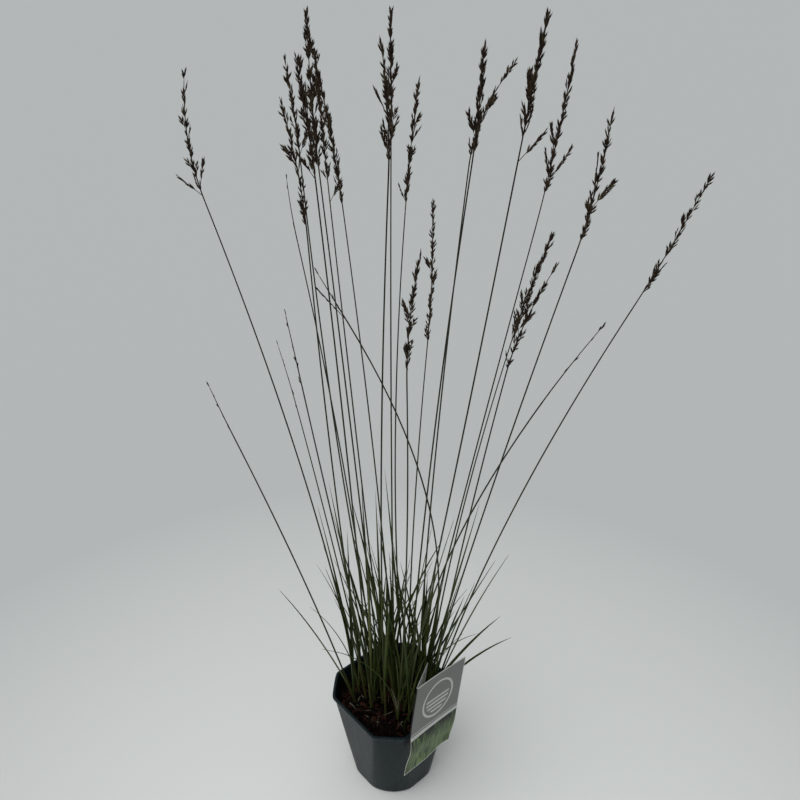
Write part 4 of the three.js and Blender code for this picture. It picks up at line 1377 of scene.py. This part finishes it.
def makeTuft(tuft, number, grown, materials):
    looks = seededRandom(seeds["tuftLooks"] + number)
    bm = newShape()
    points = [above(tuft["place"], rise) for rise, _ in crown["profile"]]
    sweepStalk(bm, points, [radius for _, radius in crown["profile"]], crown["sides"], looks())
    for leafBlade in grown:
        outwards = leaning(leafBlade["bearing"], math.pi / 2) * crown["rootOffset"]
        path, radii = [], []
        for done in evenly(0, 1, sheath["tuftSteps"])[:-1]:
            rise = mix(-sheath["tuftSunk"], leafBlade["axis"].z - foot["level"], done)
            path.append(above(tuft["place"], rise) + outwards * mix(0.75, 1, done))
            radii.append(mix(*sheath["tuftRadii"], done))
        sweepBlade(bm, leafBlade, path, radii, looks)
    finishPiece(bm, f"leaf_tuft_{number}", materials, [f"tuft_{number}"])


def looseRow(width, through, withered=True):
    return {"width": width, "through": through, "withered": withered}


# Loose blades at the front of the clump: one that curls over, and withered, frayed scraps.
looseBlades = [
    looseRow(2.8, [(15, -55, 124), (15, -57, 145), (19, -59, 158), (24, -60, 176), (27, -60, 196),
                   (26, -58, 205), (22, -55, 210), (15, -52, 211)], withered=False),
    looseRow(2.4, [(7, -40, 142), (6, -43, 156), (4, -45, 172), (1, -46, 186), (-3, -45, 198)]),
    looseRow(1.6, [(7, -40, 146), (3, -45, 166), (-1, -48, 182)]),
    looseRow(1.2, [(6, -43, 158), (7, -47, 172), (4, -50, 184)]),
    looseRow(1.4, [(6, -49, 129), (9, -48, 131), (13, -50, 130)]),
    looseRow(1.2, [(10, -47, 130), (12, -45, 133), (14, -44, 131)]),
    looseRow(1.2, [(-59, -12, 129), (-54, -19, 132), (-48, -26, 130)]),
]


def makeLooseBlades(leafy):
    bm = newShape()
    for row in looseBlades:
        points = smoothPath([Vector(spot) for spot in row["through"]], 4)
        frames = framesAlong(points, Vector((0.8, 0.6, 0)))
        shares = evenly(0, 1, len(points) - 1)
        halves = [row["width"] / 2 * (1 - share**2.5) for share in shares[:-1]]
        sections = [bladeSection(half, 0.4, 0.45) for half in halves] + [None]
        before = len(bm.faces)
        sweep(bm, points, frames, sections, shares, 0.3)
        paintSince(bm, before, 1 if row["withered"] else 0)
    finishPiece(bm, "loose_blades", [leafy, litterMaterial("strawPale", straw)])


# Flower heads

spikelet = {
    "length": (6.4, 8.8),
    "width": (1.2, 1.65),
    "thickness": 0.85,
    "sideLean": (10, 26),
    "forkLean": (5, 18),
    "body": [(0.0, 0.14), (0.16, 0.40), (0.40, 0.5), (0.66, 0.30)],  # share of length, half width
    "scale": [(0.18, 0.10), (0.36, 0.44), (0.56, 0.84)],  # out from the body, and up
}

# The branchlets from one place on the rachis get shorter, and lie closer to it, in their order.
branchlet = {
    "bare": 0.3,
    "steps": 4,
    "stalk": (0.24, 0.12),
    "turn": 2.1,  # radians between the branchlets of a place
    "placeTurn": 2.4,  # and from place to place
    "lean": ((10, 30), (8, 24), (4, 16)),
    "reach": ((0.7, 1.15), (0.5, 0.85), (0.35, 0.65)),
}

rachis = {"radii": (0.66, 0.32), "sides": 6, "endLean": 0.03, "endSpikelets": 4}
arm = {
    "radii": (0.34, 0.16), "sides": 5, "bare": 0.3, "spacing": 2.3, "angle": (10, 24),
    "rise": 0.03,  # how far a listed one stands over its place on the rachis
    "places": (0.12, 0.75),  # the part of the rachis that the others stand on
}


def rachisPoint(culm, share):
    neck, tip = Vector(culm["neck"]), Vector(culm["tip"])
    bow = Vector((*culm["bow"], 0))
    heading = (neck - Vector((*culm["foot"], foot["level"])) - 4 * bow).normalized()
    start = neck + heading * clearance
    bend = neck + heading * ((tip - neck).length / 2)
    rest = 1 - share
    return start * (rest * rest) + bend * (2 * rest * share) + tip * (share * share)


def rachisPath(culm):
    kind = headKinds[culm["kind"]]
    length = (Vector(culm["tip"]) - Vector(culm["neck"])).length
    steps = math.floor((length - kind["size"]) / kind["spacing"] + 0.5)
    end = 1 - kind["size"] / length
    return [rachisPoint(culm, end * i / steps) for i in range(steps + 1)]


def offRachis(culm, share, bearing, angle):
    ahead = (rachisPoint(culm, share + 0.02) - rachisPoint(culm, share - 0.02)).normalized()
    side = Vector((math.cos(bearing), math.sin(bearing), 0))
    return swing(ahead, (side - ahead * side.dot(ahead)).normalized(), angle)


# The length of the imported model's next spikelet. Its girth and its lean are drawn as well,
# so that what is drawn next is the same in both.
def drawLength(kind, draw):
    _, length, _ = draw(), draw(), draw()
    return kind["size"] * mix(0.85, 1.1, length)


# One spikelet of unit length and width: a keeled body and two pointed scales off it.
def spikeletTemplate():
    bm = newShape()
    body = spikelet["body"]
    points = [Vector((0, 0, z)) for z, _ in body] + [Vector((0, 0, 1))]
    frames = [(Vector((1, 0, 0)), Vector((0, 1, 0)))] * len(points)
    sections = [[(w, 0, 1), (0, w * 0.8, 0), (-w, 0, -1), (0, -w * 0.8, 0)] for _, w in body] + [None]
    sweep(bm, points, frames, sections, [0, 0.2, 0.4, 0.65, 1], 0.5)
    for side in (-1, 1):
        points = [Vector((side * x, 0, z)) for x, z in spikelet["scale"]]
        sections = [[(side * 0.2, 0, 1), (-side * 0.12, 0.2, 0), (-side * 0.12, -0.2, 0)]] * 2 + [None]
        sweep(bm, points, frames[:3], sections, [0.1, 0.6, 1], 0.5)
    bmesh.ops.recalc_face_normals(bm, faces=bm.faces)
    return meshFrom(bm, "spikeletTemplate")


def addSpikelet(head, root, heading, facing, length, width):
    side = (facing - heading * facing.dot(heading)).normalized()
    flatways = heading.cross(side)
    columns = (side * width, flatways * spikelet["thickness"] * width, heading * length, root)
    place = Matrix([[column[i] for column in columns] for i in range(3)] + [[0, 0, 0, 1]])
    stamp(head["bm"], head["template"], place, head["looks"]())


# Spikelets along a stalk, on either side of it in turn, with a fork of them at its tip.
def addSpikelets(head, points, bare, count):
    kind, looks = head["kind"], head["looks"]
    steps = len(points) - 1
    frames = framesAlong(points, Vector((1, 0, 0)))
    turn = 2 * math.pi * looks()
    for j in range(count):
        share = mix(bare, 1, min(1, (j + 0.4 * looks()) / max(1, count - 1)))
        k = min(steps - 1, int(share * steps))
        start = points[k].lerp(points[k + 1], share * steps - k)
        ahead = (points[k + 1] - points[k]).normalized()
        facing = swing(*frames[k], turn + math.pi * j + 1.2 * (looks() - 0.5))
        lean = math.radians(between(looks, spikelet["forkLean" if share > 0.8 else "sideLean"]))
        heading = swing(ahead, facing, lean * kind["opening"])
        length = kind["grain"] * between(looks, spikelet["length"])
        width = kind["grain"] * between(looks, spikelet["width"])
        addSpikelet(head, start, heading, facing, length, width)


# A branchlet that leaves the rachis at an angle and bends back along it.
def addBranchlet(head, root, ahead, out, length, lean, count):
    steps = branchlet["steps"]
    stalk = max(2.0, length - 0.7 * spikelet["length"][0] * head["kind"]["grain"])
    points = [root]
    for k in range(steps):
        points.append(points[-1] + swing(ahead, out, lean * (1.2 - 0.2 * k)) * stalk / steps)
    sweepStalk(head["bm"], points, evenly(*branchlet["stalk"], steps), 4, head["looks"]())
    addSpikelets(head, points, branchlet["bare"], count)


def flowerPurple():
    material, tree = newMaterial("flowerPurple")
    along, tint = readMark(tree, "along"), readMark(tree, "tint")
    purple = blend(tree, spread(tree, tint, 0.1, 0.75), (0.0150, 0.0088, 0.0070), (0.042, 0.0260, 0.0165))
    olive = blend(tree, spread(tree, tint, 0.76, 0.95, 0.0, 0.8), purple, (0.062, 0.052, 0.026))
    tipped = blend(tree, spread(tree, along, 0.70, 1.0, 0.0, 0.45), olive, (0.072, 0.048, 0.030))
    drifted = useGroup(tree, colourDrift, Colour=tipped, Scale=320.0, Amount=0.4)
    fibres = useGroup(tree, plantFibres, Fineness=2200.0)
    return finishMaterial(material, drifted["Colour"], 0.7, 0.1, (fibres["Height"], 0.4, 0.0003))


# The rachis with its branchlets, which turn round it and get shorter upwards. Places on it
# that aren't flowering stay bare.
def addSpray(head, path, flowering, endLength):
    kind, looks = head["kind"], head["looks"]
    radii = evenly(*rachis["radii"], len(path) - 1)
    sweepStalk(head["bm"], path, radii, rachis["sides"], looks())
    frames = framesAlong(path, Vector((1, 0, 0)))
    for i, flowers in enumerate(flowering):
        if not flowers:
            continue
        share = i / len(flowering)
        ahead = (path[i + 1] - path[i]).normalized()
        for k in range(kind["branchlets"]):
            turn = branchlet["placeTurn"] * i + branchlet["turn"] * k + looks() - 0.5
            facing = swing(*frames[i], turn)
            lean = math.radians(between(looks, branchlet["lean"][k])) * mix(1.1, 0.75, share)
            lean *= kind["opening"]
            reach = between(looks, branchlet["reach"][k])
            length = mix(*kind["reach"], share) * reach
            count = max(1, round(mix(*kind["spikelets"], share) * reach))
            root = path[i].lerp(path[i + 1], 0.8 * looks())
            addBranchlet(head, root, ahead, facing, length, lean, count)
    ahead = (path[-1] - path[-2]).normalized()
    side, lean, count = frames[-1][0], rachis["endLean"], rachis["endSpikelets"]
    addBranchlet(head, path[-1], ahead, side, endLength, lean, count)


# A side branch, left out where another piece stands in its way.
def addArm(head, share, length, bearing, angle):
    culm, kind, owner = head["culm"], head["kind"], head["owner"]
    root = rachisPoint(culm, share)
    ahead = offRachis(culm, share, bearing, angle)
    steps = max(2, math.floor(length / kind["spacing"] + 0.5) - 1)
    path = [root + ahead * (i * (length - kind["size"]) / steps) for i in range(steps + 1)]
    lengths = [drawLength(kind, head["draw"]) for i in range(steps + 1) if i >= steps * 0.3]
    tip = root + ahead * length
    if not hasRoom(owner, [path[1], tip], 2 * kind["girth"]):
        return
    placeRods(owner, [root, tip], 2 * kind["girth"])
    path.append(path[-1] + ahead * max(0.5, lengths[-1] - spikelet["length"][0]))
    sweepStalk(head["bm"], path, evenly(*arm["radii"], len(path) - 1), arm["sides"], head["looks"]())
    addSpikelets(head, path, arm["bare"], round(length / arm["spacing"]))


def makePanicle(culm, number, template, material):
    owner = f"panicle_{number:02d}"
    kind, bm = headKinds[culm["kind"]], newShape()
    draw, looks = seededRandom(seeds["head"] + number), seededRandom(seeds["headLooks"] + number)
    head = {
        "owner": owner, "culm": culm, "kind": kind, "template": template, "bm": bm,
        "draw": draw, "looks": looks,
    }
    path = rachisPath(culm)
    steps = len(path) - 1
    flowering = []
    for i in range(steps):
        drawLength(kind, draw)
        gap = draw() < kind["gaps"]
        flowering.append(i > 0 and i >= culm["bare"] * steps and not gap)
    addSpray(head, path, flowering, drawLength(kind, draw))
    for share, length, bearing, angle in culm["arms"]:
        addArm(head, share + arm["rise"], length, math.radians(bearing), math.radians(angle))
    more = max(0, kind["arms"] - len(culm["arms"]))
    for i in range(more):
        share = mix(*arm["places"], (i + draw()) / more)
        length = between(draw, kind["armLength"])
        bearing = 2 * math.pi * draw()
        addArm(head, share, length, bearing, math.radians(between(draw, arm["angle"])))
    finishPiece(bm, f"flower_head_{number:02d}", [material], [owner], sharpAngle=35)


# Everything grows before anything is made, because a blade looks for room among the others.
def makePlant():
    placeLabelRods()
    placeLipRods()
    numbered = list(enumerate(culms, 1))
    for number, culm in numbered:
        placeRods(f"culm_{number:02d}", stemPath(culm), room["stem"])
    for number, culm in numbered:
        placeRods(f"panicle_{number:02d}", rachisPath(culm), room["head"])
    onTufts = [growTuft(tuft, number) for number, tuft in enumerate(tufts, 1)]
    onCulms = [growCulm(culm, number) for number, culm in numbered]
    for number, culm in numbered[:: slimBlades["every"]]:
        onCulms[number - 1] += growSlimBlade(culm, number)
    leafy, stemmy, purple = leafGreen(), stemGreen(), flowerPurple()
    for number, tuft in enumerate(tufts, 1):
        makeTuft(tuft, number, onTufts[number - 1], [leafy])
    print("leafy tufts grown")
    for number, culm in numbered:
        makeCulm(culm, number, onCulms[number - 1], [stemmy, leafy])
    makeLooseBlades(leafy)
    print("stems and their leaves grown")
    template = spikeletTemplate()
    for number, culm in numbered:
        makePanicle(culm, number, template, purple)
    bpy.data.meshes.remove(template)
    print("flower heads grown")


makePot()
makeSoil()
makeLabel()
makePlant()
